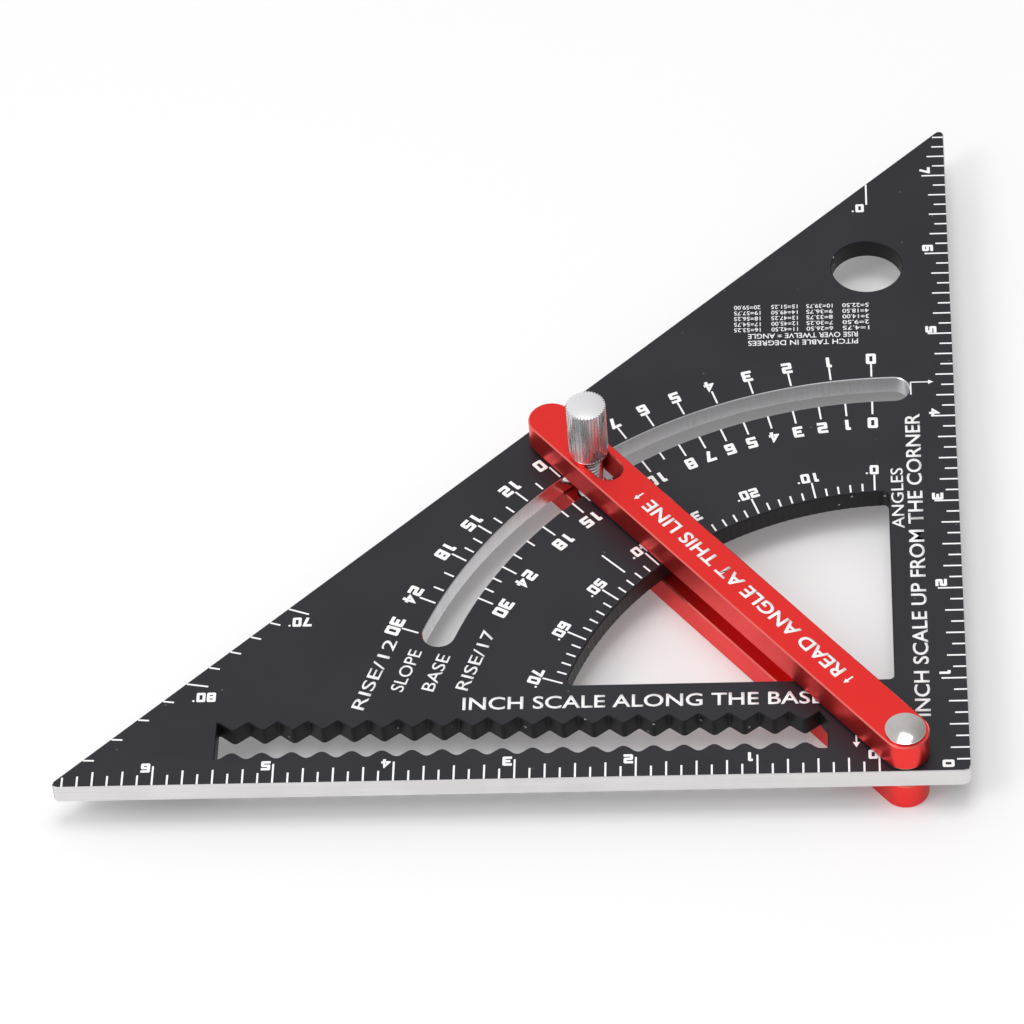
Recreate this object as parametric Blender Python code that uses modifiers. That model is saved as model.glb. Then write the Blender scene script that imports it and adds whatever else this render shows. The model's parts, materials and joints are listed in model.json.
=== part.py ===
"""Speed square with a pair of locking swing arms.

A flat triangular plate lies between two bars that turn together about a pivot near its
square corner. A stud held in the lower bar rises through the plate's arc slot and the upper
bar, and a knurled knob on it locks the bars at an angle.

Units are metres, +Z is up, +X points towards the square corner's side and +Y away from the
long bottom edge. The origin is the centre of the object's box, on the surface it lies on.
"""

import math

import bmesh
import bpy

MM = 0.001
INCH = 0.0254

# Plate
LEG = 194.06 * MM  # sharp corner to sharp tip, along either square edge
PLATE_THICKNESS = 4.76 * MM
CORNER_RADIUS = 2.0 * MM
TIP_RADIUS = 1.1 * MM

# Pivot, measured from the square corner: in from the right edge and up from the bottom edge
PIVOT_IN = 0.535 * INCH
PIVOT_UP = 0.20 * INCH
SHANK_RADIUS = 2.5 * MM
SHANK_CLEARANCE = 0.08 * MM

# Quarter opening
OPENING_IN = 0.605 * INCH
OPENING_UP = 1.005 * INCH
OPENING_RADIUS = 2.925 * INCH
OPENING_FILLET = 1.2 * MM

# Arc slot, which the lock stud runs in
LOCK_RADIUS = 105.0 * MM
ARC_SLOT_WIDTH = 7.0 * MM
ARC_SLOT_TURN = math.radians(70.2)  # from straight up past the pivot, towards the left

# Scribing slot: a smooth wave below and a pointed zigzag above, four to the inch
WAVE_PITCH = 0.25 * INCH
WAVE_FIRST = 1.231 * INCH
WAVE_COUNT = 20
NEAR_SHOULDER = 0.06 * INCH  # plain stretch past the last notch, at the square corner's end
FAR_SHOULDER = 0.015 * INCH
WAVE_LOW = 0.3075 * INCH
WAVE_HEIGHT = 0.0325 * INCH
ZIGZAG_LOW = 0.568 * INCH
ZIGZAG_HIGH = 0.668 * INCH

# Hang hole
HANG_IN = 0.737 * INCH
HANG_UP = 5.857 * INCH
HANG_RADIUS = 8.0 * MM

# Arms
ARM_ANGLE = math.radians(39.6)  # from +Y towards -X
ARM_WIDTH = 10.0 * MM
ARM_HEIGHT = 7.0 * MM
ARM_REACH = 118.4 * MM
ARM_SLOT_WIDTH = 6.2 * MM
ARM_SLOT_FROM = 98.3 * MM
ARM_SLOT_TO = 107.0 * MM

# Fasteners
PLAY = 0.05 * MM
WASHER_THICKNESS = 0.3 * MM
PIVOT_WASHER_RADIUS = 4.6 * MM
PIVOT_HEAD_RADIUS = 4.3 * MM
PIVOT_HEAD_RIM = 0.45 * MM
PIVOT_HEAD_RISE = 0.9 * MM  # of the dome above its rim
PIVOT_BARREL_DROP = 0.4 * MM  # the barrel's mouth lies this far under the upper arm's top
PIVOT_THREAD_RADIUS = 1.7 * MM
PIVOT_FLANGE_RADIUS = 4.0 * MM
PIVOT_FLANGE_HEIGHT = 1.4 * MM
STUD_RADIUS = 2.9 * MM
STUD_HEAD_SIDE = 7.6 * MM
STUD_HEAD_HEIGHT = 2.2 * MM
STUD_CHAMFER = 0.4 * MM
KNOB_WASHER_RADIUS = 4.1 * MM
KNOB_WASHER_THICKNESS = 0.5 * MM
KNOB_RADIUS = 4.33 * MM
KNOB_HEIGHT = 14.3 * MM
KNOB_CHAMFER = 0.35 * MM
KNOB_BORE_RADIUS = 3.0 * MM
KNOB_BORE_DEPTH = 12.0 * MM
STUD_THREAD_LENGTH = 11.4 * MM  # how far the stud reaches into the knob
RECESS_GAP = 0.15 * MM

# Levels above the surface that the lower arm lies on
ARM_GAP = WASHER_THICKNESS + 2 * PLAY
LOWER_TOP = ARM_HEIGHT
PLATE_BOTTOM = LOWER_TOP + ARM_GAP
PLATE_TOP = PLATE_BOTTOM + PLATE_THICKNESS
UPPER_BOTTOM = PLATE_TOP + ARM_GAP
UPPER_TOP = UPPER_BOTTOM + ARM_HEIGHT
KNOB_BOTTOM = UPPER_TOP + KNOB_WASHER_THICKNESS + 2 * PLAY

# The square corner and the points measured from it
HALF_SPAN = (LEG - math.sqrt(2) * TIP_RADIUS) / 2
CORNER_X = HALF_SPAN
CORNER_Y = -HALF_SPAN
PIVOT = (CORNER_X - PIVOT_IN, CORNER_Y + PIVOT_UP)
ARM_ALONG = (-math.sin(ARM_ANGLE), math.cos(ARM_ANGLE))

ROUND_STEPS = 48
CUTTER_OVERSHOOT = 1.0 * MM
WELD_DISTANCE = 0.001 * MM

BLACK_ANODISE = ((0.045, 0.045, 0.05), 0.42, 0.6)
RED_ANODISE = ((0.72, 0.03, 0.03), 0.28, 0.8)
BARE_ALUMINIUM = ((0.82, 0.81, 0.81), 0.3, 1.0)
POLISHED_STEEL = ((0.78, 0.77, 0.75), 0.12, 1.0)
NYLON = ((0.85, 0.84, 0.8), 0.5, 0.0)


def clear_scene():
    for obj in list(bpy.data.objects):
        bpy.data.objects.remove(obj, do_unlink=True)


def new_collection(name):
    collection = bpy.data.collections.new(name)
    bpy.context.scene.collection.children.link(collection)
    return collection


def finish_of(name, values):
    """A Principled material from (colour, roughness, metallic)."""
    colour, roughness, metallic = values
    material = bpy.data.materials.new(name)
    material.use_nodes = True
    shader = material.node_tree.nodes["Principled BSDF"]
    shader.inputs["Base Color"].default_value = (*colour, 1.0)
    shader.inputs["Roughness"].default_value = roughness
    shader.inputs["Metallic"].default_value = metallic
    material.diffuse_color = (*colour, 1.0)
    return material


def from_corner(inwards, upwards):
    return (CORNER_X - inwards, CORNER_Y + upwards)


def along_arm(distance):
    return (PIVOT[0] + ARM_ALONG[0] * distance, PIVOT[1] + ARM_ALONG[1] * distance)


def arc(centre, radius, start, end, steps):
    """Points on an arc, angles in radians from +X, both ends included."""
    points = []
    for i in range(steps + 1):
        angle = start + (end - start) * i / steps
        points.append((centre[0] + radius * math.cos(angle), centre[1] + radius * math.sin(angle)))
    return points


def circle(centre, radius, steps=ROUND_STEPS):
    return arc(centre, radius, 0, 2 * math.pi, steps)[:-1]


def filleted(corners, steps=8):
    """A convex outline, counter-clockwise, from (point, fillet radius) corners."""
    points = []
    for i, (corner, radius) in enumerate(corners):
        before = corners[i - 1][0]
        after = corners[(i + 1) % len(corners)][0]
        way_in = math.atan2(corner[1] - before[1], corner[0] - before[0])
        way_out = math.atan2(after[1] - corner[1], after[0] - corner[0])
        turn = (way_out - way_in) % (2 * math.pi)
        reach = radius * math.tan(turn / 2)
        start = (corner[0] - reach * math.cos(way_in), corner[1] - reach * math.sin(way_in))
        centre = (start[0] - radius * math.sin(way_in), start[1] + radius * math.cos(way_in))
        from_angle = way_in - math.pi / 2
        points += arc(centre, radius, from_angle, from_angle + turn, steps)
    return points


def stadium(start, end, radius, steps=16):
    """A slot or bar outline with round ends about two centres."""
    way = math.atan2(end[1] - start[1], end[0] - start[0])
    far = arc(end, radius, way - math.pi / 2, way + math.pi / 2, steps)
    near = arc(start, radius, way + math.pi / 2, way + 3 * math.pi / 2, steps)
    return far + near


def arc_slot():
    """The slot round the pivot that the lock stud runs in."""
    half = ARC_SLOT_WIDTH / 2
    first = math.pi / 2
    last = first + ARC_SLOT_TURN
    outer = arc(PIVOT, LOCK_RADIUS + half, first, last, 40)
    inner = arc(PIVOT, LOCK_RADIUS - half, last, first, 40)
    first_centre = arc(PIVOT, LOCK_RADIUS, first, first, 1)[0]
    last_centre = arc(PIVOT, LOCK_RADIUS, last, last, 1)[0]
    last_end = arc(last_centre, half, last, last + math.pi, 14)
    first_end = arc(first_centre, half, first + math.pi, first + 2 * math.pi, 14)
    return outer + last_end[1:-1] + inner + first_end[1:-1]


def quarter_opening():
    """The window bounded by two square edges and an arc round the pivot."""
    right = CORNER_X - OPENING_IN
    low = CORNER_Y + OPENING_UP
    radius = OPENING_FILLET
    inner = OPENING_RADIUS - radius
    top_centre_x = right - radius
    top_rise = math.sqrt(inner**2 - (top_centre_x - PIVOT[0]) ** 2)
    top_centre = (top_centre_x, PIVOT[1] + top_rise)
    left_centre_y = low + radius
    left_run = math.sqrt(inner**2 - (left_centre_y - PIVOT[1]) ** 2)
    left_centre = (PIVOT[0] - left_run, left_centre_y)
    top_angle = math.atan2(top_centre[1] - PIVOT[1], top_centre[0] - PIVOT[0])
    left_angle = math.atan2(left_centre[1] - PIVOT[1], left_centre[0] - PIVOT[0])
    points = arc(top_centre, radius, 0, top_angle, 6)
    points += arc(PIVOT, OPENING_RADIUS, top_angle, left_angle, 40)[1:-1]
    points += arc(left_centre, radius, left_angle, 3 * math.pi / 2, 8)
    points += arc((right - radius, low + radius), radius, 3 * math.pi / 2, 2 * math.pi, 6)
    return points


def scribing_slot():
    """The pencil slot: its notches stand a pitch apart along the bottom scale."""
    steps = 8
    last = WAVE_FIRST + WAVE_PITCH * WAVE_COUNT
    lower = []
    for i in range(steps * WAVE_COUNT + 1):
        inwards = WAVE_FIRST + WAVE_PITCH * i / steps
        rise = WAVE_LOW - WAVE_HEIGHT * math.cos(2 * math.pi * i / steps)
        lower.append(from_corner(inwards, rise))
    upper = []
    for i in range(2 * WAVE_COUNT + 1):
        inwards = last - WAVE_PITCH * i / 2
        upper.append(from_corner(inwards, ZIGZAG_LOW if i % 2 else ZIGZAG_HIGH))
    foot = WAVE_LOW - WAVE_HEIGHT
    far_side = last + FAR_SHOULDER
    near_side = WAVE_FIRST - NEAR_SHOULDER
    far_end = [from_corner(far_side, foot), from_corner(far_side, ZIGZAG_HIGH)]
    near_end = [from_corner(near_side, ZIGZAG_LOW), from_corner(near_side, foot)]
    return lower + far_end + upper + near_end


def weld(mesh):
    """Joins a curve mesh's loose caps to its walls."""
    bm = bmesh.new()
    bm.from_mesh(mesh)
    bmesh.ops.remove_doubles(bm, verts=bm.verts, dist=WELD_DISTANCE)
    bmesh.ops.recalc_face_normals(bm, faces=bm.faces)
    bm.to_mesh(mesh)
    bm.free()


def flat_solid(name, outlines, low, high):
    """A mesh object between two levels: the first outline is its edge, the others are holes."""
    curve = bpy.data.curves.new(name + "_outline", "CURVE")
    curve.dimensions = "2D"
    curve.fill_mode = "BOTH"
    curve.extrude = (high - low) / 2
    for outline in outlines:
        spline = curve.splines.new("POLY")
        spline.points.add(len(outline) - 1)
        for point, (x, y) in zip(spline.points, outline):
            point.co = (x, y, 0, 1)
        spline.use_cyclic_u = True
    flat = bpy.data.objects.new(name + "_outline", curve)
    bpy.context.scene.collection.objects.link(flat)
    flat.location.z = (low + high) / 2
    bpy.context.view_layer.update()
    evaluated = flat.evaluated_get(bpy.context.evaluated_depsgraph_get())
    mesh = bpy.data.meshes.new_from_object(evaluated)
    weld(mesh)
    obj = bpy.data.objects.new(name, mesh)
    obj.matrix_world = flat.matrix_world.copy()
    bpy.data.objects.remove(flat, do_unlink=True)
    bpy.data.curves.remove(curve)
    return obj


def turned(name, profile, centre, closed=False):
    """A turned piece about a vertical axis: profile is (radius, level) down its outer side."""
    mesh = bpy.data.meshes.new(name)
    edges = [(i, i + 1) for i in range(len(profile) - 1)]
    if closed:
        edges.append((len(profile) - 1, 0))
    mesh.from_pydata([(radius, 0, level) for radius, level in profile], edges, [])
    obj = bpy.data.objects.new(name, mesh)
    obj.location = (*centre, 0)
    screw = obj.modifiers.new("turn", "SCREW")
    screw.steps = ROUND_STEPS
    screw.render_steps = ROUND_STEPS
    screw.use_merge_vertices = True
    screw.merge_threshold = WELD_DISTANCE
    screw.use_smooth_shade = True
    return obj


def block(name, centre, side, low, high):
    """A square block with its sides along and across the arm."""
    mesh = bpy.data.meshes.new(name)
    bm = bmesh.new()
    bmesh.ops.create_cube(bm, size=1.0)
    bmesh.ops.scale(bm, verts=bm.verts, vec=(side, side, high - low))
    bm.to_mesh(mesh)
    bm.free()
    obj = bpy.data.objects.new(name, mesh)
    obj.location = (*centre, (low + high) / 2)
    obj.rotation_euler.z = ARM_ANGLE
    return obj


def boolean(obj, other, operation):
    """Adds or takes away another object, which becomes a hidden helper."""
    cut = obj.modifiers.new(operation.lower(), "BOOLEAN")
    cut.operation = operation
    cut.object = other
    cut.solver = "EXACT"
    other.hide_render = True
    other.display_type = "WIRE"
    cutters.objects.link(other)


def place(obj, finish, axis=None):
    """Adds a finished piece, as a child of the empty on its joint's axis where it moves."""
    parts.objects.link(obj)
    obj.data.materials.append(finish)
    if axis:
        hang_on(obj, axis)


def hang_on(obj, axis):
    """Parents an object to an empty without moving it."""
    bpy.context.view_layer.update()
    obj.parent = axis
    obj.matrix_parent_inverse = axis.matrix_world.inverted()


def axis_empty(name, centre, level):
    """An empty on a joint's upright axis."""
    empty = bpy.data.objects.new(name, None)
    empty.empty_display_type = "SINGLE_ARROW"
    empty.empty_display_size = ARM_HEIGHT
    empty.location = (*centre, level)
    parts.objects.link(empty)
    return empty


def make_plate():
    outline = filleted(
        [
            (from_corner(0, 0), CORNER_RADIUS),
            (from_corner(0, LEG), TIP_RADIUS),
            (from_corner(LEG, 0), TIP_RADIUS),
        ]
    )
    holes = [
        quarter_opening(),
        arc_slot(),
        scribing_slot(),
        circle(from_corner(HANG_IN, HANG_UP), HANG_RADIUS),
        circle(PIVOT, SHANK_RADIUS + SHANK_CLEARANCE),
    ]
    plate = flat_solid("square_plate", [outline, *holes], PLATE_BOTTOM, PLATE_TOP)
    place(plate, finish_of("black_anodise", BLACK_ANODISE))


def make_upper_arm():
    outline = stadium(PIVOT, along_arm(ARM_REACH), ARM_WIDTH / 2)
    slot = stadium(along_arm(ARM_SLOT_FROM), along_arm(ARM_SLOT_TO), ARM_SLOT_WIDTH / 2)
    bore = circle(PIVOT, SHANK_RADIUS + SHANK_CLEARANCE)
    arm = flat_solid("upper_arm", [outline, slot, bore], UPPER_BOTTOM, UPPER_TOP)
    place(arm, red, swing_axis)


def make_lower_arm():
    """The bar below, with recesses in its underside for the pivot flange and the stud's head."""
    outline = stadium(PIVOT, along_arm(ARM_REACH), ARM_WIDTH / 2)
    bore = circle(PIVOT, SHANK_RADIUS + SHANK_CLEARANCE)
    stud_hole = circle(along_arm(LOCK_RADIUS), STUD_RADIUS + SHANK_CLEARANCE)
    arm = flat_solid("lower_arm", [outline, bore, stud_hole], 0, LOWER_TOP)
    below = -CUTTER_OVERSHOOT
    flange_top = RECESS_GAP + PIVOT_FLANGE_HEIGHT + PLAY
    flange_side = PIVOT_FLANGE_RADIUS + PLAY
    flange_profile = [(0, flange_top), (flange_side, flange_top), (flange_side, below), (0, below)]
    boolean(arm, turned("pivot_recess", flange_profile, PIVOT), "DIFFERENCE")
    head_top = RECESS_GAP + STUD_HEAD_HEIGHT + PLAY
    head_side = STUD_HEAD_SIDE + 2 * PLAY
    recess = block("stud_recess", along_arm(LOCK_RADIUS), head_side, below, head_top)
    boolean(arm, recess, "DIFFERENCE")
    place(arm, red, swing_axis)


def make_pivot_barrel():
    """A flanged nut whose tube reaches through all three layers."""
    top = UPPER_TOP - PIVOT_BARREL_DROP
    flange_top = RECESS_GAP + PIVOT_FLANGE_HEIGHT
    bore = PIVOT_THREAD_RADIUS + SHANK_CLEARANCE
    profile = [
        (0, flange_top),
        (bore, flange_top),
        (bore, top),
        (SHANK_RADIUS, top),
        (SHANK_RADIUS, flange_top),
        (PIVOT_FLANGE_RADIUS, flange_top),
        (PIVOT_FLANGE_RADIUS, RECESS_GAP),
        (0, RECESS_GAP),
    ]
    place(turned("pivot_barrel", profile, PIVOT), steel, swing_axis)


def make_pivot_screw():
    """The polished dome on top, with its thread in the barrel."""
    seat = UPPER_TOP + PLAY
    rim = seat + PIVOT_HEAD_RIM
    sphere = (PIVOT_HEAD_RADIUS**2 + PIVOT_HEAD_RISE**2) / (2 * PIVOT_HEAD_RISE)
    sphere_level = rim + PIVOT_HEAD_RISE - sphere
    steps = 8
    profile = []
    for i in range(steps + 1):
        radius = PIVOT_HEAD_RADIUS * i / steps
        profile.append((radius, sphere_level + math.sqrt(sphere**2 - radius**2)))
    profile += [
        (PIVOT_HEAD_RADIUS, seat),
        (PIVOT_THREAD_RADIUS, seat),
        (PIVOT_THREAD_RADIUS, LOWER_TOP),
        (0, LOWER_TOP),
    ]
    place(turned("pivot_screw", profile, PIVOT), steel, swing_axis)


def ring(name, centre, inner, outer, low, high):
    """A flat washer between two levels."""
    profile = [(inner, high), (outer, high), (outer, low), (inner, low)]
    return turned(name, profile, centre, closed=True)


def make_pivot_washers():
    """Thin washers between the plate and each arm."""
    nylon = finish_of("nylon", NYLON)
    inner = SHANK_RADIUS + SHANK_CLEARANCE
    for name, low in (
        ("lower_pivot_washer", LOWER_TOP + PLAY),
        ("upper_pivot_washer", PLATE_TOP + PLAY),
    ):
        high = low + WASHER_THICKNESS
        place(ring(name, PIVOT, inner, PIVOT_WASHER_RADIUS, low, high), nylon)


def make_lock_stud():
    """A square head held in the lower arm, and a shank that reaches up into the knob."""
    centre = along_arm(LOCK_RADIUS)
    head_top = RECESS_GAP + STUD_HEAD_HEIGHT
    head = block("lock_stud", centre, STUD_HEAD_SIDE, RECESS_GAP, head_top)
    top = KNOB_BOTTOM + STUD_THREAD_LENGTH
    shank_foot = RECESS_GAP + STUD_HEAD_HEIGHT / 2
    profile = [
        (0, top),
        (STUD_RADIUS - STUD_CHAMFER, top),
        (STUD_RADIUS, top - STUD_CHAMFER),
        (STUD_RADIUS, shank_foot),
        (0, shank_foot),
    ]
    boolean(head, turned("stud_shank", profile, centre), "UNION")
    place(head, steel, swing_axis)


def make_knob_washer():
    centre = along_arm(LOCK_RADIUS)
    inner = STUD_RADIUS + SHANK_CLEARANCE
    low = UPPER_TOP + PLAY
    high = low + KNOB_WASHER_THICKNESS
    place(ring("knob_washer", centre, inner, KNOB_WASHER_RADIUS, low, high), steel, knob_axis)


def make_knob():
    """The lock knob, bored from below for the stud."""
    top = KNOB_BOTTOM + KNOB_HEIGHT
    bore_top = KNOB_BOTTOM + KNOB_BORE_DEPTH
    profile = [
        (0, top),
        (KNOB_RADIUS - KNOB_CHAMFER, top),
        (KNOB_RADIUS, top - KNOB_CHAMFER),
        (KNOB_RADIUS, KNOB_BOTTOM + KNOB_CHAMFER),
        (KNOB_RADIUS - KNOB_CHAMFER, KNOB_BOTTOM),
        (KNOB_BORE_RADIUS, KNOB_BOTTOM),
        (KNOB_BORE_RADIUS, bore_top),
        (0, bore_top),
    ]
    knob = turned("lock_knob", profile, along_arm(LOCK_RADIUS))
    place(knob, finish_of("bare_aluminium", BARE_ALUMINIUM), knob_axis)


clear_scene()
parts = new_collection("speed_square")
cutters = new_collection("cutters")
red = finish_of("red_anodise", RED_ANODISE)
steel = finish_of("polished_steel", POLISHED_STEEL)
swing_axis = axis_empty("arm_swing_axis", PIVOT, (PLATE_BOTTOM + PLATE_TOP) / 2)
knob_axis = axis_empty("knob_axis", along_arm(LOCK_RADIUS), KNOB_BOTTOM)
hang_on(knob_axis, swing_axis)
make_plate()
make_upper_arm()
make_lower_arm()
make_pivot_barrel()
make_pivot_screw()
make_pivot_washers()
make_lock_stud()
make_knob_washer()
make_knob()
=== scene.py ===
"""Looks of the speed square with its locking swing arm.

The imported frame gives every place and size. The classes below build the finished pieces on it:
the chamfered plate and its printed scales, the two bars of the swing arm, the domed pivot, and
the lock stud with its knurled knob.
"""

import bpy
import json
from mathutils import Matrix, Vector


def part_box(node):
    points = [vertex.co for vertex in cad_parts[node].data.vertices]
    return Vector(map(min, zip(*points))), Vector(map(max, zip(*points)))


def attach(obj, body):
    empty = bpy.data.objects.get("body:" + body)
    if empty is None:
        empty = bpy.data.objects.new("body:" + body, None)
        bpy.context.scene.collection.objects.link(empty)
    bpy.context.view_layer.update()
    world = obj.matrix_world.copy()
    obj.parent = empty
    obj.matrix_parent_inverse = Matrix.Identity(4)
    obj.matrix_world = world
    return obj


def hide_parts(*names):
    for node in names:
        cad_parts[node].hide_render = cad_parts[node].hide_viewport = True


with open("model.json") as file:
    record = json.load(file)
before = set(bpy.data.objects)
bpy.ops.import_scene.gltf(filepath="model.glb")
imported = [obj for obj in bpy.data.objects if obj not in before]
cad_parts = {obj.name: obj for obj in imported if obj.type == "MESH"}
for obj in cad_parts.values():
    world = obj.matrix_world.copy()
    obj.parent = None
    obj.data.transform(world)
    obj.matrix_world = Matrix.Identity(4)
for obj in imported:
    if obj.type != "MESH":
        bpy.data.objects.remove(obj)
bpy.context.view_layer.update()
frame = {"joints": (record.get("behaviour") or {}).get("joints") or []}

import json
import logging
import math
from dataclasses import dataclass, field
from enum import Enum
from typing import Callable, Mapping, Optional, Sequence, Union

import bmesh
import bpy
from mathutils import Matrix, Vector

MM = 0.001
INCH = 0.0254
# Facets round a turned piece, and round a small bore.
ROUND_STEPS = 96
BORE_STEPS = 48
# Points closer than this are one, and edges that turn further than this stay sharp.
WELD = 0.0005 * MM
SHARP_ANGLE = math.radians(28)
# How upright the normal of a level face, and of a chamfer, is at least.
LEVEL_FACE = 0.9
CHAMFER_FACE = 0.3

Pair = tuple[float, float]
Triple = tuple[float, float, float]
Point = Pair
Colour = Triple
Outline = list[Point]
Piece = bpy.types.Object
Tree = bpy.types.NodeTree
Socket = bpy.types.NodeSocket
Sockets = Mapping[str, Socket]
Inputs = Mapping[Union[int, str], object]

log = logging.getLogger("speed_square")


# ---------------------------------------------------------------- places on the frame


@dataclass(frozen=True)
class Layout:
    """The places that every piece is measured from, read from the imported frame.

    Attributes:
        corner: the plate's square corner.
        span: the plate's width.
        face: the level of its top.
        underside: the level of its underside.
        pivot: the arm's axis.
        lock: the knob's axis.
    """

    corner: Point
    span: float
    face: float
    underside: float
    pivot: Point
    lock: Point

    @staticmethod
    def from_frame() -> "Layout":
        """Reads the plate's square corner and the two joint axes."""
        low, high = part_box("square_plate")
        axes = {joint["name"]: joint.get("pos_m") for joint in frame["joints"]}
        pivot = axes["arm_swing"]
        lock = axes["knob_spin"]
        return Layout(
            corner=(high.x, low.y),
            span=high.x - low.x,
            face=high.z,
            underside=low.z,
            pivot=(pivot[0], pivot[1]),
            lock=(lock[0], lock[1]),
        )

    @property
    def arm_turn(self) -> float:
        """The arm's heading in radians, anticlockwise from +X."""
        return math.atan2(self.lock[1] - self.pivot[1], self.lock[0] - self.pivot[0])

    def at(self, inwards: float, upwards: float) -> Point:
        """A point given in inches from the square corner.

        Args:
            inwards: inches to the left of the right edge.
            upwards: inches above the bottom edge.

        Returns:
            The point in metres.
        """
        return (self.corner[0] - inwards * INCH, self.corner[1] + upwards * INCH)

    def along_arm(self, distance: float, aside: float = 0.0) -> Point:
        """A point in metres along the arm's middle line, and aside to its left."""
        turn = self.arm_turn
        x = self.pivot[0] + distance * math.cos(turn) - aside * math.sin(turn)
        y = self.pivot[1] + distance * math.sin(turn) + aside * math.cos(turn)
        return (x, y)


# ---------------------------------------------------------------- outlines


def arc(centre: Point, radius: float, start: float, end: float, steps: int) -> Outline:
    """Points on an arc, both ends included.

    Args:
        centre: the arc's centre.
        radius: its radius.
        start: first angle in radians from +X.
        end: last angle.
        steps: how many chords it is made of.

    Returns:
        The points in order.
    """
    angles = [start + (end - start) * i / steps for i in range(steps + 1)]
    return [(centre[0] + radius * math.cos(a), centre[1] + radius * math.sin(a)) for a in angles]


def circle(centre: Point, radius: float, steps: int = ROUND_STEPS) -> Outline:
    """A closed circle of points."""
    return arc(centre, radius, 0, 2 * math.pi, steps)[:-1]


def filleted(corners: Sequence[tuple[Point, float]], steps: int = 10) -> Outline:
    """A convex outline with rounded corners.

    Args:
        corners: (point, fillet radius) in anticlockwise order.
        steps: chords in each fillet.

    Returns:
        The outline's points.
    """
    points: Outline = []
    for i, (corner, radius) in enumerate(corners):
        before = corners[i - 1][0]
        after = corners[(i + 1) % len(corners)][0]
        way_in = math.atan2(corner[1] - before[1], corner[0] - before[0])
        way_out = math.atan2(after[1] - corner[1], after[0] - corner[0])
        turn = (way_out - way_in) % (2 * math.pi)
        reach = radius * math.tan(turn / 2)
        start = (corner[0] - reach * math.cos(way_in), corner[1] - reach * math.sin(way_in))
        centre = (start[0] - radius * math.sin(way_in), start[1] + radius * math.cos(way_in))
        points += arc(centre, radius, way_in - math.pi / 2, way_in - math.pi / 2 + turn, steps)
    return points


def stadium(start: Point, end: Point, radius: float, steps: int = 32) -> Outline:
    """A slot or bar outline with round ends about two centres."""
    way = math.atan2(end[1] - start[1], end[0] - start[0])
    far = arc(end, radius, way - math.pi / 2, way + math.pi / 2, steps)
    near = arc(start, radius, way + math.pi / 2, way + 3 * math.pi / 2, steps)
    return far + near


def signed_area(outline: Outline) -> float:
    """Twice the outline's area, positive when it runs anticlockwise."""
    following = outline[1:] + outline[:1]
    return sum(a[0] * b[1] - b[0] * a[1] for a, b in zip(outline, following))


def run_way(outline: Outline, anticlockwise: bool) -> Outline:
    """The same outline, run the way asked for."""
    return outline if (signed_area(outline) > 0) == anticlockwise else outline[::-1]


# ---------------------------------------------------------------- mesh makers


def link(obj: Piece) -> Piece:
    """Adds an object to the scene."""
    bpy.context.scene.collection.objects.link(obj)
    return obj


def remove(obj: Piece) -> None:
    """Removes a helper object and the data that only it used."""
    data = obj.data
    bpy.data.objects.remove(obj, do_unlink=True)
    if isinstance(data, bpy.types.Mesh):
        bpy.data.meshes.remove(data)
    else:
        bpy.data.curves.remove(data)


def tidy_mesh(mesh: bpy.types.Mesh) -> None:
    """Closes seams, points the faces outwards and shades the round parts smooth."""
    bm = bmesh.new()
    bm.from_mesh(mesh)
    bmesh.ops.remove_doubles(bm, verts=bm.verts, dist=WELD)
    bmesh.ops.dissolve_degenerate(bm, edges=bm.edges, dist=WELD / 10)
    bmesh.ops.recalc_face_normals(bm, faces=bm.faces)
    bm.to_mesh(mesh)
    bm.free()
    mesh.shade_smooth()
    mesh.set_sharp_from_angle(angle=SHARP_ANGLE)


def settle(obj: Piece, place: Matrix = Matrix.Identity(4)) -> Piece:
    """Applies an object's modifiers and puts its place into its mesh.

    Args:
        obj: the piece, made at its own origin. A curve or text becomes a mesh.
        place: where it goes.

    Returns:
        A mesh object of the same name at the origin, in the scene.
    """
    name = obj.name
    if obj.name not in bpy.context.scene.collection.objects:
        link(obj)
    bpy.context.view_layer.update()
    evaluated = obj.evaluated_get(bpy.context.evaluated_depsgraph_get())
    mesh = bpy.data.meshes.new_from_object(evaluated)
    remove(obj)
    mesh.transform(place)
    mesh.name = name
    tidy_mesh(mesh)
    return link(bpy.data.objects.new(name, mesh))


def slab(name: str, outlines: Sequence[Outline], low: float, high: float, chamfer: float) -> Piece:
    """A flat piece with its edges broken all round.

    Args:
        name: the piece's name.
        outlines: its edge, then its holes.
        low: the underside's level.
        high: the top's level.
        chamfer: width of the broken edge.

    Returns:
        The closed mesh object.
    """
    curve = bpy.data.curves.new(name, "CURVE")
    curve.dimensions = "2D"
    curve.fill_mode = "BOTH"
    curve.extrude = (high - low) / 2 - chamfer
    curve.bevel_depth = chamfer
    curve.bevel_resolution = 0
    curve.offset = -chamfer
    for i, outline in enumerate(outlines):
        spline = curve.splines.new("POLY")
        ordered = run_way(outline, i == 0)
        spline.points.add(len(ordered) - 1)
        for point, (x, y) in zip(spline.points, ordered):
            point.co = (x, y, 0, 1)
        spline.use_cyclic_u = True
    return settle(bpy.data.objects.new(name, curve), Matrix.Translation((0, 0, (low + high) / 2)))


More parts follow.
